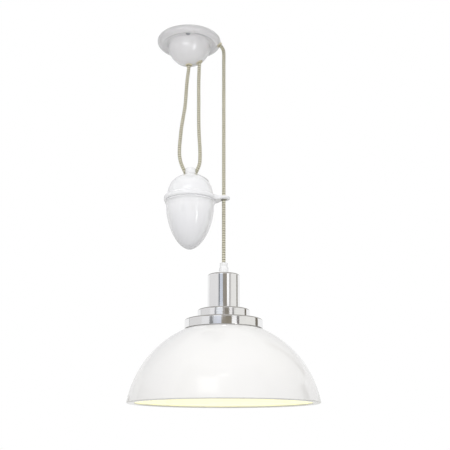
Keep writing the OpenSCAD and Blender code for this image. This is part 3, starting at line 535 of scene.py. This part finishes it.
left, left_line = flex("flex_left", LEFT, None, ["cord_left"])
right, right_line = flex("flex_right", RIGHT, None, ["cord_right"])
down, down_line = flex("flex_to_lamp", DOWN, None, ["lamp_cord"])
flex("flex_round_wheel", [(WEIGHT_X + x, z) for x, z in LOOP], WEIGHT, ["loop_cord"])
flex("flex_over_pulley", OVER, ROSE, ["pulley_cord"])
flex("flex_fixed_end", ANCHOR, ROSE, ["anchor_cord"])
flex("flex_in_grip", GRIP, LAMP, ["grip_cord"])

for piece, line, body in ((left, left_line, WEIGHT), (right, right_line, WEIGHT), (down, down_line, LAMP)):
    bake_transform(piece)

# Ceiling rose -----------------------------------------------------------

BEAD_X, BEAD_R = 48.0, 7.0  # the bead round the rim: its distance from the axis and its radius
CHANNEL, FILLET = 12.0, 4.0  # the channel's depth inside the bead, and its bend into the dome
DOME_Z, DOME_R, WALL = -14.0, 36.5, 4.0  # the dome's centre and radius, and its wall
RECESS_R, RECESS_Z = BEAD_X - BEAD_R / 3, -8  # the room for the ceiling plate
DOME_IN = DOME_R - WALL
rose_outline = (
    [(RECESS_R, 0)]
    + arc(BEAD_X, -BEAD_R, BEAD_R, 90, -118, 60)
    + arc(DOME_R + FILLET - 0.1, -CHANNEL - FILLET, FILLET, 90, 180, 16)
    + arc(0, DOME_Z, DOME_R, -5, -90, 60)
    + arc(0, DOME_Z, DOME_IN, -90, 0, 50)
    + [(DOME_IN + 0.8, RECESS_Z - 1), (DOME_IN + 1.8, RECESS_Z), (RECESS_R, RECESS_Z)])
rose = lathe("rose_porcelain", rose_outline, 0, ROSE_GLAZE_SHADED, ROSE, ["rose_cover"], segments=224)

FACE_HOLE_R, SIDE_HOLE_R = 5.15, 4.35  # for the two bushes below and the one in the bead
HOLE_FROM = 28  # inside the dome's wall, from the dome's centre
SIDE_REACH = 8.5
SCREW_Y, SCREW_R, SCREW_HEAD_R = 41.5, 2.2, 4.1
DOWNWARD, OUTWARD = (0, 0, -1), (1, 0, -1)
LEAN = math.asin(RIGHT[0][0] / DOME_R)
RIGHT_WAY = (math.sin(LEAN), 0, -math.cos(LEAN))  # square to the dome where the right fall leaves it
SIDE_EXIT = (BEAD_X + BEAD_R * math.cos(math.pi / 4), -BEAD_R - BEAD_R * math.sin(math.pi / 4))
holes = [rod((0, 0, -40), DOWNWARD, FACE_HOLE_R, 20),
         rod((HOLE_FROM * RIGHT_WAY[0], 0, DOME_Z + HOLE_FROM * RIGHT_WAY[2]), RIGHT_WAY, FACE_HOLE_R, 14),
         rod((SIDE_EXIT[0] - SIDE_REACH, 0, SIDE_EXIT[1] + SIDE_REACH), OUTWARD, SIDE_HOLE_R, 2 * SIDE_REACH)]
for y in (SCREW_Y, -SCREW_Y):
    holes.append(rod((0, y, -5), DOWNWARD, SCREW_R, 30))
    holes.append(rod((0, y, -12), DOWNWARD, SCREW_HEAD_R, 8))
carve(rose, holes)


def bush(name, bore, place, way, replaced):
    """A beige bush with a rounded lip, its lip at a place and its bore along a direction."""
    length, wall, brim = 5, 0.8, 0.9
    lip, bore_bend = 1.0, 0.7
    outer = bore + wall
    outline = ([(bore, length), (outer, length), (outer, 0), (outer + brim, 0)]
               + arc(outer - 0.05, -0.2, lip, 0, -90, 10)
               + arc(bore + bore_bend, -0.5, bore_bend, -90, -180, 8))
    mesh = lathe_mesh(name, outline, 0, 96)
    turn = Vector(DOWNWARD).rotation_difference(Vector(way)).to_matrix()
    for vert in mesh.vertices:
        vert.co = turn @ vert.co + Vector(place) * MM
    return finish_mesh(name, mesh, [BUSH], ROSE, replaced)


FACE_BORE, SIDE_BORE = 4.3, 3.5
bush("bush_left_beige", FACE_BORE, (0, 0, DOME_Z - DOME_R), DOWNWARD, ["bush_left"])
bush("bush_right_beige", FACE_BORE, (DOME_R * RIGHT_WAY[0], 0, DOME_Z + DOME_R * RIGHT_WAY[2]), RIGHT_WAY,
     ["bush_right"])
bush("bush_side_beige", SIDE_BORE, (SIDE_EXIT[0], 0, SIDE_EXIT[1]), OUTWARD, ["side_bush"])

# Weight -----------------------------------------------------------------

NECK_TOP, NECK_R, NECK_BEND = -241.0, 9.5, 2.2
CAP_TOP, CAP_R, CAP_H, SHELL = -251.5, 38.0, 38.5, 4.5
SHOULDER = 3.3  # how far down the dome the neck's fillet ends
COLLAR_TOP = CAP_TOP - CAP_H
COLLAR_R, COLLAR_H, COLLAR_IN = 43.5, 8.5, 34.5
COLLAR_BOTTOM = COLLAR_TOP - COLLAR_H
SEAT = COLLAR_TOP - 1.5  # the dome's edge, set into the collar
BOWL_TOP, BOWL_R, BOWL_H = COLLAR_BOTTOM - 0.3, 39.2, 69.0
BOWL_WIDE = BOWL_TOP - 12  # the egg's widest level, below the flare of the bowl's lip


def cap_radius(depth, radius=CAP_R, height=CAP_H):
    return radius * math.sqrt(1 - (1 - min(depth, height) / height) ** 2.4)


def egg_point(radius, height, t):
    """A point of the egg, from its widest level at t = 0 to its tip at t = 1."""
    depth = height * (1 - (1 - t) ** 1.7)
    return (radius * (1 - min(depth / height, 1) ** 1.7) ** 0.55, BOWL_WIDE - depth)


# The neck's fillet onto the dome is a curve pulled towards the corner they would make
fillet_start = (NECK_R, CAP_TOP + 2.2)
fillet_corner = (10.3, CAP_TOP - 0.9)
fillet_end = (cap_radius(SHOULDER), CAP_TOP - SHOULDER)
fillet = []
for t in (i / 12 for i in range(13)):
    fillet.append(between(between(fillet_start, fillet_corner, t), between(fillet_corner, fillet_end, t), t))
outer_depths = [SHOULDER + (CAP_H - SHOULDER) * (i / 60) ** 1.4 for i in range(1, 61)]
inner_h = CAP_H - SHELL
inner_depths = [inner_h * (i / 40) ** 1.5 for i in range(40, -1, -1)]
cap_outline = (
    [(0, NECK_TOP), (4, NECK_TOP)]
    + arc(NECK_R - NECK_BEND, NECK_TOP - NECK_BEND, NECK_BEND, 90, 0, 10) + fillet
    + [(cap_radius(depth), CAP_TOP - depth) for depth in outer_depths]
    + [(CAP_R, SEAT), (CAP_R - SHELL, SEAT)]
    + [(cap_radius(depth, CAP_R - SHELL, inner_h), CAP_TOP - SHELL - depth) for depth in inner_depths])
cap = lathe("weight_dome", cap_outline, WEIGHT_X, WEIGHT_GLAZE, WEIGHT, ["weight_cap"],
            segments=192)

WHEEL_Z = -249.8
WHEEL_ROOM, WHEEL_GAP, SLOT_RISE = 11.7, 4.5, 6.9  # the wheel's slot: reach, half width and rise
PIN_HOLE_R = 1.55
MOUTH_R, MOUTH_TILT, MOUTH_LENGTH, MOUTH_DEPTH = 3.7, math.radians(24), 16, 6
cutters = [block((WEIGHT_X - WHEEL_ROOM, -WHEEL_GAP, WHEEL_Z - WHEEL_ROOM),
                 (WEIGHT_X + WHEEL_ROOM, WHEEL_GAP, WHEEL_Z + SLOT_RISE))]
for end_x, end_z in (LOOP[0], LOOP[-1]):
    way = (math.copysign(math.sin(MOUTH_TILT), end_x), 0, math.cos(MOUTH_TILT))
    bottom = (WEIGHT_X + end_x - MOUTH_DEPTH * way[0], 0, end_z - MOUTH_DEPTH * way[2])
    cutters.append(rod(bottom, way, MOUTH_R, MOUTH_LENGTH))
cutters.append(rod((WEIGHT_X, -8, WHEEL_Z), (0, 1, 0), PIN_HOLE_R, 19))
carve(cap, cutters)

LIP_R, LIP_BEND = 41.3, 1.1
bowl_outline = (
    [(BOWL_R - SHELL, BOWL_TOP), (LIP_R, BOWL_TOP)]
    + arc(LIP_R - 0.1, BOWL_TOP - LIP_BEND, LIP_BEND, 80, -60, 8)
    + [(40.6, BOWL_TOP - 3.6), (40.0, BOWL_TOP - 5.2), (39.6, BOWL_TOP - 7.2), (39.3, BOWL_TOP - 9.6)]
    + [egg_point(BOWL_R, BOWL_H, i / 70) for i in range(71)]
    + [egg_point(BOWL_R - SHELL, BOWL_H - SHELL, i / 40) for i in range(40, -1, -1)])
lathe("weight_egg", bowl_outline, WEIGHT_X, WEIGHT_GLAZE, WEIGHT, ["weight_bowl"],
      segments=192)

# The collar's rounded rim, with a small cove at the foot of the dome
UNDER_BEND, UPPER_BEND, COVE = 3.0, 2.0, 3.0
DOME_FOOT = CAP_R - 0.6
collar_outline = (
    [(COLLAR_IN, COLLAR_BOTTOM)]
    + arc(COLLAR_R - UNDER_BEND, COLLAR_BOTTOM + UNDER_BEND, UNDER_BEND, -90, 0, 12)
    + arc(COLLAR_R - UPPER_BEND, COLLAR_TOP - UPPER_BEND, UPPER_BEND, 0, 90, 10)
    + arc(CAP_R + 3.2, COLLAR_TOP + COVE, COVE, 270, 190, 10)
    + [(DOME_FOOT, COLLAR_TOP + 2.6), (DOME_FOOT, SEAT), (COLLAR_IN, SEAT)])

EYE_X, EYE_R, EYE_HOLE, EYE_T = 55.5, 10.5, 5.0, 5.0  # from the weight's axis; the eye's thickness last
ROOT_X, ROOT_Y = 40.0, 16.5  # the arm's corners inside the collar
RISE_FROM, RISE_TO = 45.5, EYE_X - 3  # where its underside rises
ARM_EDGE = 1.7


def arm_plan():
    """The arm and eye seen from above, going round from the eye's near side."""
    turns = [math.radians(-104 + 208 * i / 64) for i in range(65)]
    tip = [(EYE_X + EYE_R * math.cos(turn), EYE_R * math.sin(turn)) for turn in turns]
    end_x, end_y = tip[-1]
    flank = [(end_x + (ROOT_X - end_x) * t, end_y + (ROOT_Y - end_y) * t ** 2.2)
             for t in (i / 16 for i in range(1, 16))]
    return tip + flank + [(ROOT_X, ROOT_Y), (ROOT_X, -ROOT_Y)] + [(x, -y) for x, y in reversed(flank)]


def arm_mesh():
    """The arm and its eye: a plate with round edges, thick at the collar and thin at the eye."""
    build = bmesh.new()
    plan = arm_plan()
    count = len(plan)
    top = COLLAR_TOP - 0.05
    layers = 8
    rings = []
    for layer in range(layers + 1):
        angle = math.pi * layer / layers - math.pi / 2
        inset = 1.0 - math.cos(angle)
        ring = []
        for i, (x, y) in enumerate(plan):
            bx, by = plan[i - 1]
            ax, ay = plan[(i + 1) % count]
            nx, ny = ay - by, bx - ax
            n = math.hypot(nx, ny) or 1
            rise = min(max((x - RISE_FROM) / (RISE_TO - RISE_FROM), 0), 1)
            thick = (COLLAR_H - 0.6) * (1 - rise) + EYE_T * rise
            edge = min(ARM_EDGE, thick / 2)
            middle = top - edge if layer > layers / 2 else top - thick + edge
            ring.append(build.verts.new(((x - nx / n * inset * edge) * MM, (y - ny / n * inset * edge) * MM,
                                         (middle + math.sin(angle) * edge) * MM)))
        rings.append(ring)
    for a, b in zip(rings, rings[1:]):
        for i in range(count):
            build.faces.new((a[i], a[(i + 1) % count], b[(i + 1) % count], b[i]))
    build.faces.new(rings[0])
    build.faces.new(rings[-1])
    bmesh.ops.recalc_face_normals(build, faces=build.faces)
    for vert in build.verts:
        vert.co.x += WEIGHT_X * MM
    return meshed("arm", build)


def weld(name, meshes, hole, voxel, smoothing, material, body, replaced):
    """Joins closed meshes into one cast form with soft inner corners, then drills it."""
    build = bmesh.new()
    for mesh in meshes:
        build.from_mesh(mesh)
        bpy.data.meshes.remove(mesh)
    base = add_object("joined", meshed("joined", build))
    remesh = base.modifiers.new("remesh", "REMESH")
    remesh.mode = "VOXEL"
    remesh.voxel_size = voxel * MM
    remesh.use_smooth_shade = True
    soften = base.modifiers.new("soften", "SMOOTH")
    soften.factor = 0.5
    soften.iterations = smoothing
    mesh = modified(base)
    mesh.name = name
    mesh.materials.clear()
    bpy.data.objects.remove(base)
    piece = finish_mesh(name, mesh, [material], body, replaced)
    carve(piece, [hole])
    return piece


VOXEL, SMOOTHING = 0.45, 12
collar = weld("weight_collar", [lathe_mesh("collar", collar_outline, WEIGHT_X, 192), arm_mesh()],
              rod((WEIGHT_X + EYE_X, 0, COLLAR_TOP + 5), DOWNWARD, EYE_HOLE, 20, 64),
              VOXEL, SMOOTHING, WEIGHT_GLAZE, WEIGHT, ["guide_collar"])
# The faces inside the eye's hole take the painted shadow colour.
collar.data.materials.append(EYE_BORE_SHADOW)
for face in collar.data.polygons:
    if math.dist(face.center[:2], ((WEIGHT_X + EYE_X) * MM, 0)) < (EYE_HOLE + 0.1) * MM:
        face.material_index = 1

# Lamp -------------------------------------------------------------------

GRIP_TOP, GRIP_H, GRIP_R = -402.0, 20.0, 7.6
TUBE_TOP = GRIP_TOP - GRIP_H
TUBE_R, STEP_R, SKIRT_R = 25.75, 41.5, 62.0  # the gallery's three tiers
TUBE_H, STEP_H, SKIRT_H = 57, 16, 15
STEP_TOP = TUBE_TOP - TUBE_H
SKIRT_TOP = STEP_TOP - STEP_H
SKIRT_BOTTOM = SKIRT_TOP - SKIRT_H
METAL = 1.2
SPHERE_R, SHADE_WALL, RIM_R, LIP = 152.0, 3.0, 150.0, 12.0
# The shade is part of a sphere: its centre, and the heights of its crown and its rim
SHADE_Z = SKIRT_BOTTOM - 0.2 - math.sqrt(SPHERE_R ** 2 - (SKIRT_R - METAL) ** 2)
CROWN_R, SHADE_HOLE_R = 28.0, 20.0
CROWN_Z = SHADE_Z + math.sqrt(SPHERE_R ** 2 - CROWN_R ** 2)
RIM_Z = SHADE_Z + math.sqrt(SPHERE_R ** 2 - RIM_R ** 2)

NOSE_R, NOSE_BEND, NOSE_Z = GRIP_R - 1.2, 1.8, GRIP_TOP - 7.9
GRIP_BORE = 3.4
grip_outline = (
    [(GRIP_BORE + 0.5, GRIP_TOP - 0.3), (GRIP_BORE + 0.1, GRIP_TOP - 1.2), (GRIP_BORE, TUBE_TOP)]
    + [(GRIP_R, TUBE_TOP), (GRIP_R, TUBE_TOP + 0.6)] + arc(GRIP_R - 0.5, NOSE_Z - 0.7, 0.5, 0, 80, 5)
    + [(NOSE_R, NOSE_Z)] + arc(NOSE_R - NOSE_BEND, GRIP_TOP - NOSE_BEND, NOSE_BEND, 0, 90, 10))
grip = lathe("grip_white", grip_outline, LAMP_X, GRIP_WHITE, LAMP, ["cord_grip"],
             segments=96)
GRIP_SCREW_R, ENTRY_R = 1.55, 5.05  # the side screw's hole, and the socket for the entry tube
carve(grip, [rod((LAMP_X, 2, GRIP_TOP - 12), (0, 1, 0), GRIP_SCREW_R, 8, 32),
             rod((LAMP_X, 0, TUBE_TOP - 1), (0, 0, 1), ENTRY_R, 6.3)])


def supported(outline):
    """The outline with a point near both ends of each long straight, so a corner's shading stays there."""
    near, long = 0.35, 2
    made = []
    for here, there in zip(outline, outline[1:] + outline[:1]):
        made.append(here)
        span = math.dist(here, there)
        if span > long:
            made.extend(between(here, there, t) for t in (near / span, 1 - near / span))
    return made


METAL_BEND, METAL_ROOT = 2.4, 1.2  # the bend over each tier's top edge, and the one at its foot


def tier_top(r, z):
    return arc(r - METAL_BEND, z - METAL_BEND, METAL_BEND, 90, 0, 10)


def tier_foot(r, z):
    return [(r, z + METAL_ROOT)] + arc(r + METAL_ROOT, z + METAL_ROOT, METAL_ROOT, 180, 270, 8)


BORE_R = 5.2  # for the entry tube
gallery_outline = (
    [(BORE_R, TUBE_TOP), (12, TUBE_TOP)] + tier_top(TUBE_R, TUBE_TOP) + tier_foot(TUBE_R, STEP_TOP)
    + tier_top(STEP_R, STEP_TOP) + tier_foot(STEP_R, SKIRT_TOP) + tier_top(SKIRT_R, SKIRT_TOP)
    + [(SKIRT_R, SKIRT_BOTTOM + 0.4), (SKIRT_R - 0.3, SKIRT_BOTTOM), (SKIRT_R - METAL, SKIRT_BOTTOM)]
    + [(SKIRT_R - METAL, SKIRT_TOP - METAL_BEND), (SKIRT_R - METAL_BEND, SKIRT_TOP - METAL)]
    + [(STEP_R - METAL, SKIRT_TOP - METAL), (STEP_R - METAL - 0.4, STEP_TOP - METAL_BEND)]
    + [(STEP_R - 2.8, STEP_TOP - METAL), (TUBE_R - METAL, STEP_TOP - METAL)]
    + [(TUBE_R - METAL, TUBE_TOP - METAL_BEND), (TUBE_R - METAL_BEND, TUBE_TOP - METAL)]
    + [(BORE_R, TUBE_TOP - METAL)])
lathe("gallery_metal", supported(gallery_outline), LAMP_X, POLISHED, LAMP, ["gallery"],
      segments=256, sharp=50)

RIM_BEND = 1.5
RIM_IN = RIM_R - LIP  # the inner edge of the rim's flat lip
crown = math.degrees(math.acos(CROWN_R / SPHERE_R))
rim = math.degrees(math.asin((RIM_Z - SHADE_Z) / SPHERE_R))
inner_r = SPHERE_R - SHADE_WALL
inner_rim = math.degrees(math.asin((RIM_Z + SHADE_WALL + 2 - SHADE_Z) / inner_r))
outside = arc(0, SHADE_Z, SPHERE_R, crown, rim + 0.6, 90)  # it ends just above the rim's own bend
edge = (arc(RIM_R - RIM_BEND, RIM_Z + RIM_BEND, RIM_BEND, 0, -90, 8)
        + arc(RIM_IN + RIM_BEND, RIM_Z + RIM_BEND, RIM_BEND, -90, -180, 8)
        + arc(RIM_IN + RIM_BEND, RIM_Z + SHADE_WALL - RIM_BEND, RIM_BEND, 180, 90, 6))
inside = ([(inner_r * math.cos(math.radians(inner_rim)) - 3, RIM_Z + SHADE_WALL)]
          + arc(0, SHADE_Z, inner_r, inner_rim, crown, 90)
          + [(CROWN_R - 1, CROWN_Z - SHADE_WALL), (SHADE_HOLE_R, CROWN_Z - SHADE_WALL)]
          + [(SHADE_HOLE_R, CROWN_Z)])
first_edge, first_inside = len(outside), len(outside) + len(edge) - 1


def shade_part(i):
    """The material of a point's face: 0 outside, 2 on the rim, 1 inside."""
    if i < first_edge:
        return 0
    return 2 if i < first_inside else 1


shade_mesh = lathe_mesh("shade_opal", outside + edge + inside, LAMP_X, 256, shade_part)
finish_mesh("shade_opal", shade_mesh, [OPAL_OUT, OPAL_IN_LAMPLIT, OPAL_RIM_SHADED], LAMP, ["shade"])

BULB_TOP = CROWN_Z + 20  # inside the lampholder
BULB_LENGTH, GLOBE_R, BULB_GLASS = 107, 30.0, 1
BULB_NECK_R = 12.4
throat = BULB_TOP - 29
globe_z = BULB_TOP - BULB_LENGTH + GLOBE_R
neck_out = [(BULB_NECK_R, BULB_TOP - 22), (BULB_NECK_R, throat), (BULB_NECK_R + 0.8, throat - 4),
            (BULB_NECK_R + 3.4, throat - 9.5), (BULB_NECK_R + 7, throat - 13.2)]
bulb_outline = (neck_out + arc(0, globe_z, GLOBE_R, 46, -90, 60)
                + arc(0, globe_z, GLOBE_R - BULB_GLASS, -90, 46, 60)
                + [(r - BULB_GLASS, z) for r, z in reversed(neck_out)])
lathe("bulb_globe", bulb_outline, LAMP_X, BULB, LAMP, ["bulb_glass"], segments=128)

# Carried-over CAD nodes -------------------------------------------------

for material, names in (
        (ZINC, "ceiling_plate cover_posts pulley_cheeks cheek_rivets cap_disc rod_nut entry_tube tube_nut"),
        (STEEL, "cover_screws rose_pulley_pin clamp_screws wheel_pin tie_rod"), (DARK_STEEL, "weight_clip"),
        (IRON, "ballast"), (BRASS, "rose_pulley weight_wheel terminal_screws earth_screw screw_shell"),
        (NYLON, "cord_clamp terminal_block grip_screw holder_cap holder_body shade_washer shade_ring"),
        (CORE_CERAMIC, "holder_core"), (CORE, "cord_cores"), (BULB_CAP, "bulb_cap")):
    for name in names.split():
        for spot in NODES[name].material_slots:
            spot.material = material

# Light ------------------------------------------------------------------

scene.view_settings.view_transform = "Standard"

world = bpy.data.worlds.new("world")
scene.world = world
world.use_nodes = True
sky = world.node_tree
sky.nodes.clear()
height = split(sky, node(sky, "TexCoord").outputs["Generated"])[2]
fade = remap(sky, height, 0.0, 0.9, 1.14, 0.86)
soft = node(sky, "Background", {"Color": WHITE, "Strength": fade})
white = node(sky, "Background", {"Color": WHITE, "Strength": 1.0})
seen = maths(sky, "SUBTRACT", 1, node(sky, "LightPath").outputs["Is Diffuse Ray"])
blend = node(sky, "MixShader", {0: seen, 1: soft.outputs[0], 2: white.outputs[0]})
sky.links.new(blend.outputs[0], node(sky, "OutputWorld").inputs[0])


def area_light(name, place, aim, size, power):
    data = bpy.data.lights.new(name, "AREA")
    data.shape = "SQUARE"
    data.size = size
    data.energy = power
    data.specular_factor = 0
    lamp = add_object(name, data)
    lamp.location = place
    lamp.rotation_euler = (Vector(aim) - Vector(place)).to_track_quat("-Z", "Y").to_euler()
    lamp.visible_camera = False
    lamp.visible_glossy = False
    return lamp


area_light("key", (-1.5, -1.7, 0.35), (0.05, 0, -0.45), 1.2, 3)
area_light("fill", (0.3, -2.1, -0.5), (0.05, 0, -0.3), 1.0, 13)
for name, place, power in (
        ("rose_front", (-0.3, -0.85, -0.9), 0.012), ("rose_left", (-0.5, -0.15, -0.62), 0.026),
        ("rose_right", (0.5, -0.15, -0.62), 0.02)):
    beam = area_light(name, place, (0, 0, -0.03), 0.25, power)
    beam.data.spread = math.radians(20)

# What the metal and the glaze reflect -----------------------------------


def flat(name, corners, material):
    """A four-cornered panel, in metres."""
    mesh = bpy.data.meshes.new(name)
    mesh.from_pydata(corners, [], [(0, 1, 2, 3)])
    mesh.materials.append(material)
    return add_object(name, mesh)


def card(name, corners, colour, strength, one_sided=False):
    """A lit panel that only shows in reflections, and from its front alone when it is one-sided."""
    material = plain_light(name, colour, strength)
    if one_sided:
        tree = material.node_tree
        front = node(tree, "MixShader", {0: node(tree, "NewGeometry").outputs["Backfacing"],
                                         1: tree.nodes["Emission"].outputs[0],
                                         2: node(tree, "BsdfTransparent").outputs[0]})
        tree.links.new(front.outputs[0], tree.nodes["Material Output"].inputs[0])
    panel = flat(name, corners, material)
    panel.visible_camera = panel.visible_diffuse = panel.visible_shadow = panel.visible_transmission = False


# A round tent of cards about the lamp. In front, the tube, step and skirt each reflect a ring of their own.
TENT_R = 1.5
CARD_TURN = 6  # a band is made of flat cards about this many degrees wide
FLOOR_Z, LOW, UNDER_STEP, UNDER_TUBE, HIGH, TENT_TOP = -1.9, -0.41, -0.2655, -0.233, -0.02, 1.4
STRIP_Z = -0.95
TENT = (  # low and high edge, and the bands: from and to as directions round the lamp, colour, strength
    (LOW, HIGH, (
        (-180, -120, (238, 238, 238), 1.05), (-120, -116, (196, 196, 196), 1.0))),
    (LOW, UNDER_STEP, (
        (-116, -66, (218, 217, 217), 1.0), (-66, -41, (228, 228, 229), 1.0),
        (-41, -29.5, (136, 137, 138), 1.0),
        (-29.5, -20, (198, 202, 210), 1.0), (-20, -6.5, (206, 210, 222), 1.0),
        (-6.5, 22.8, (140, 133, 119), 1.0),
        (22.8, 37.5, (255, 255, 255), 1.0), (37.5, 45, (126, 122, 120), 1.0),
        (45, 104, (230, 229, 225), 1.0))),
    (UNDER_STEP, UNDER_TUBE, (
        (-116, -60, (220, 219, 219), 1.0), (-60, -38.5, (237, 236, 238), 1.0),
        (-38.5, -33.5, (140, 140, 144), 1.0),
        (-33.5, -3, (250, 252, 254), 1.0), (-3, 5, (178, 175, 176), 1.0), (5, 26, (126, 122, 116), 1.0),
        (26, 36, (216, 212, 211), 1.0), (36, 45.5, (152, 150, 149), 1.0), (45.5, 104, (230, 229, 226), 1.0))),
    (UNDER_TUBE, HIGH, (
        (-116, -40, (226, 225, 225), 1.0), (-40, -35, (206, 206, 208), 1.0), (-35, -27, (120, 122, 126), 1.0),
        (-27, -6, (202, 208, 219), 1.0), (-6, 23, (146, 140, 130), 1.0), (23, 38, (255, 255, 255), 1.1),
        (38, 53, (194, 192, 190), 1.0), (53, 104, (232, 231, 228), 1.0))),
    (LOW, HIGH, (
        (104, 117, (116, 110, 100), 1.0), (117, 180, (238, 238, 238), 1.05))),
    (STRIP_Z, LOW, (
        (33, 39, (255, 255, 255), 4.4),)),
    (FLOOR_Z, LOW, (
        (-180, -150, (240, 240, 240), 1.0), (-150, -142, (184, 182, 178), 1.0),
        (-142, -95, (230, 230, 230), 1.0),
        (-95, -88, (178, 176, 172), 1.0), (-88, -40, (228, 228, 230), 1.0), (-40, 20, (240, 240, 242), 1.0),
        (20, 33, (226, 224, 220), 1.0), (39, 75, (234, 234, 232), 1.0), (75, 84, (168, 166, 162), 1.0),
        (84, 122, (240, 240, 238), 1.0), (122, 130, (132, 128, 122), 1.0), (130, 180, (232, 232, 230), 1.0))),
    (HIGH, TENT_TOP, (
        (-180, -120, (226, 226, 228), 1.0), (-120, -60, (242, 242, 244), 1.0),
        (-60, -44, (204, 203, 200), 1.0),
        (-44, 50, (230, 230, 230), 1.0), (50, 62, (206, 204, 200), 1.0), (62, 128, (240, 240, 238), 1.0),
        (128, 136, (186, 182, 176), 1.0), (136, 180, (228, 228, 228), 1.0))))


def tent_spot(turn, z):
    return (LAMP_X * MM + TENT_R * math.sin(math.radians(turn)), -TENT_R * math.cos(math.radians(turn)), z)


number = 0
for low, high, bands in TENT:
    for start, end, colour, strength in bands:
        steps = max(1, round((end - start) / CARD_TURN))
        for part in range(steps):
            a, b = (start + (end - start) * (part + k) / steps for k in (0, 1))
            corners = [tent_spot(a, low), tent_spot(b, low), tent_spot(b, high), tent_spot(a, high)]
            card(f"tent_{number}_{part}", corners, linear(*colour), strength)
        number += 1

# Windows that show as highlights on the shade and the porcelain
WINDOW = [(-0.575, -1.14, -0.025), (-0.055, -1.30, -0.015), (-0.055, -1.04, 0.34), (-0.55, -0.90, 0.32)]
SMALL_WINDOW = [(-0.01, -1.02, 0.34), (0.19, -1.01, 0.34), (0.20, -0.97, 0.41), (0.0, -0.98, 0.41)]
ROSE_WINDOW = [(0.06, -0.33, -0.115), (-0.20, -0.33, -0.115), (-0.20, -0.36, -0.092), (0.06, -0.36, -0.092)]
ROSE_STRIP = [(0.114, -0.232, -0.25), (0.300, -0.489, -0.25), (0.340, -0.459, -0.25), (0.154, -0.202, -0.25)]
card("window", WINDOW, WHITE, 2.0)
card("small_window", SMALL_WINDOW, WHITE, 3.0)
card("rose_window", ROSE_WINDOW, WHITE, 6.5, one_sided=True)
card("rose_strip", ROSE_STRIP, WHITE, 6.5, one_sided=True)

# Floor and ceiling ------------------------------------------------------


def level_corners(half, z):
    return [(-half, -half, z), (half, -half, z), (half, half, z), (-half, half, z)]


# The floor is white to the camera, darker to what it lights from below, and an even grey to reflections
floor_material, floor_tree, floor_shader = blank("floor", Roughness=0.9, Specular_IOR_Level=0.1,
                                                  Emission_Color=WHITE, Emission_Strength=0.1)
grain = noise(floor_tree, object_place(floor_tree), 0.6, 2)
wire(floor_tree, floor_shader, two_tone(floor_tree, grain, linear(250, 250, 250), linear(252, 252, 252)))
rays = node(floor_tree, "LightPath").outputs
dim = node(floor_tree, "BsdfDiffuse", {"Color": (0.36, 0.36, 0.364, 1)})
grey = node(floor_tree, "Emission", {"Color": linear(228, 228, 230), "Strength": 1.0})
to_camera = node(floor_tree, "MixShader", {0: rays["Is Camera Ray"], 1: dim.outputs[0],
                                           2: floor_shader.outputs[0]})
to_gloss = node(floor_tree, "MixShader", {0: rays["Is Glossy Ray"], 1: to_camera.outputs[0],
                                          2: grey.outputs[0]})
floor_tree.links.new(to_gloss.outputs[0], floor_tree.nodes["Material Output"].inputs[0])
floor = flat("floor", level_corners(60, FLOOR_Z), floor_material)

# A patch of ceiling over the rose that only soft light and shadows meet
ceiling_material = mottled("ceiling", linear(205, 205, 205), linear(212, 212, 212), 20, 0.9, 0.1, 0.1, 200)
ceiling = flat("ceiling", level_corners(0.14, 0.001), ceiling_material)
ceiling.visible_camera = ceiling.visible_glossy = ceiling.visible_transmission = False
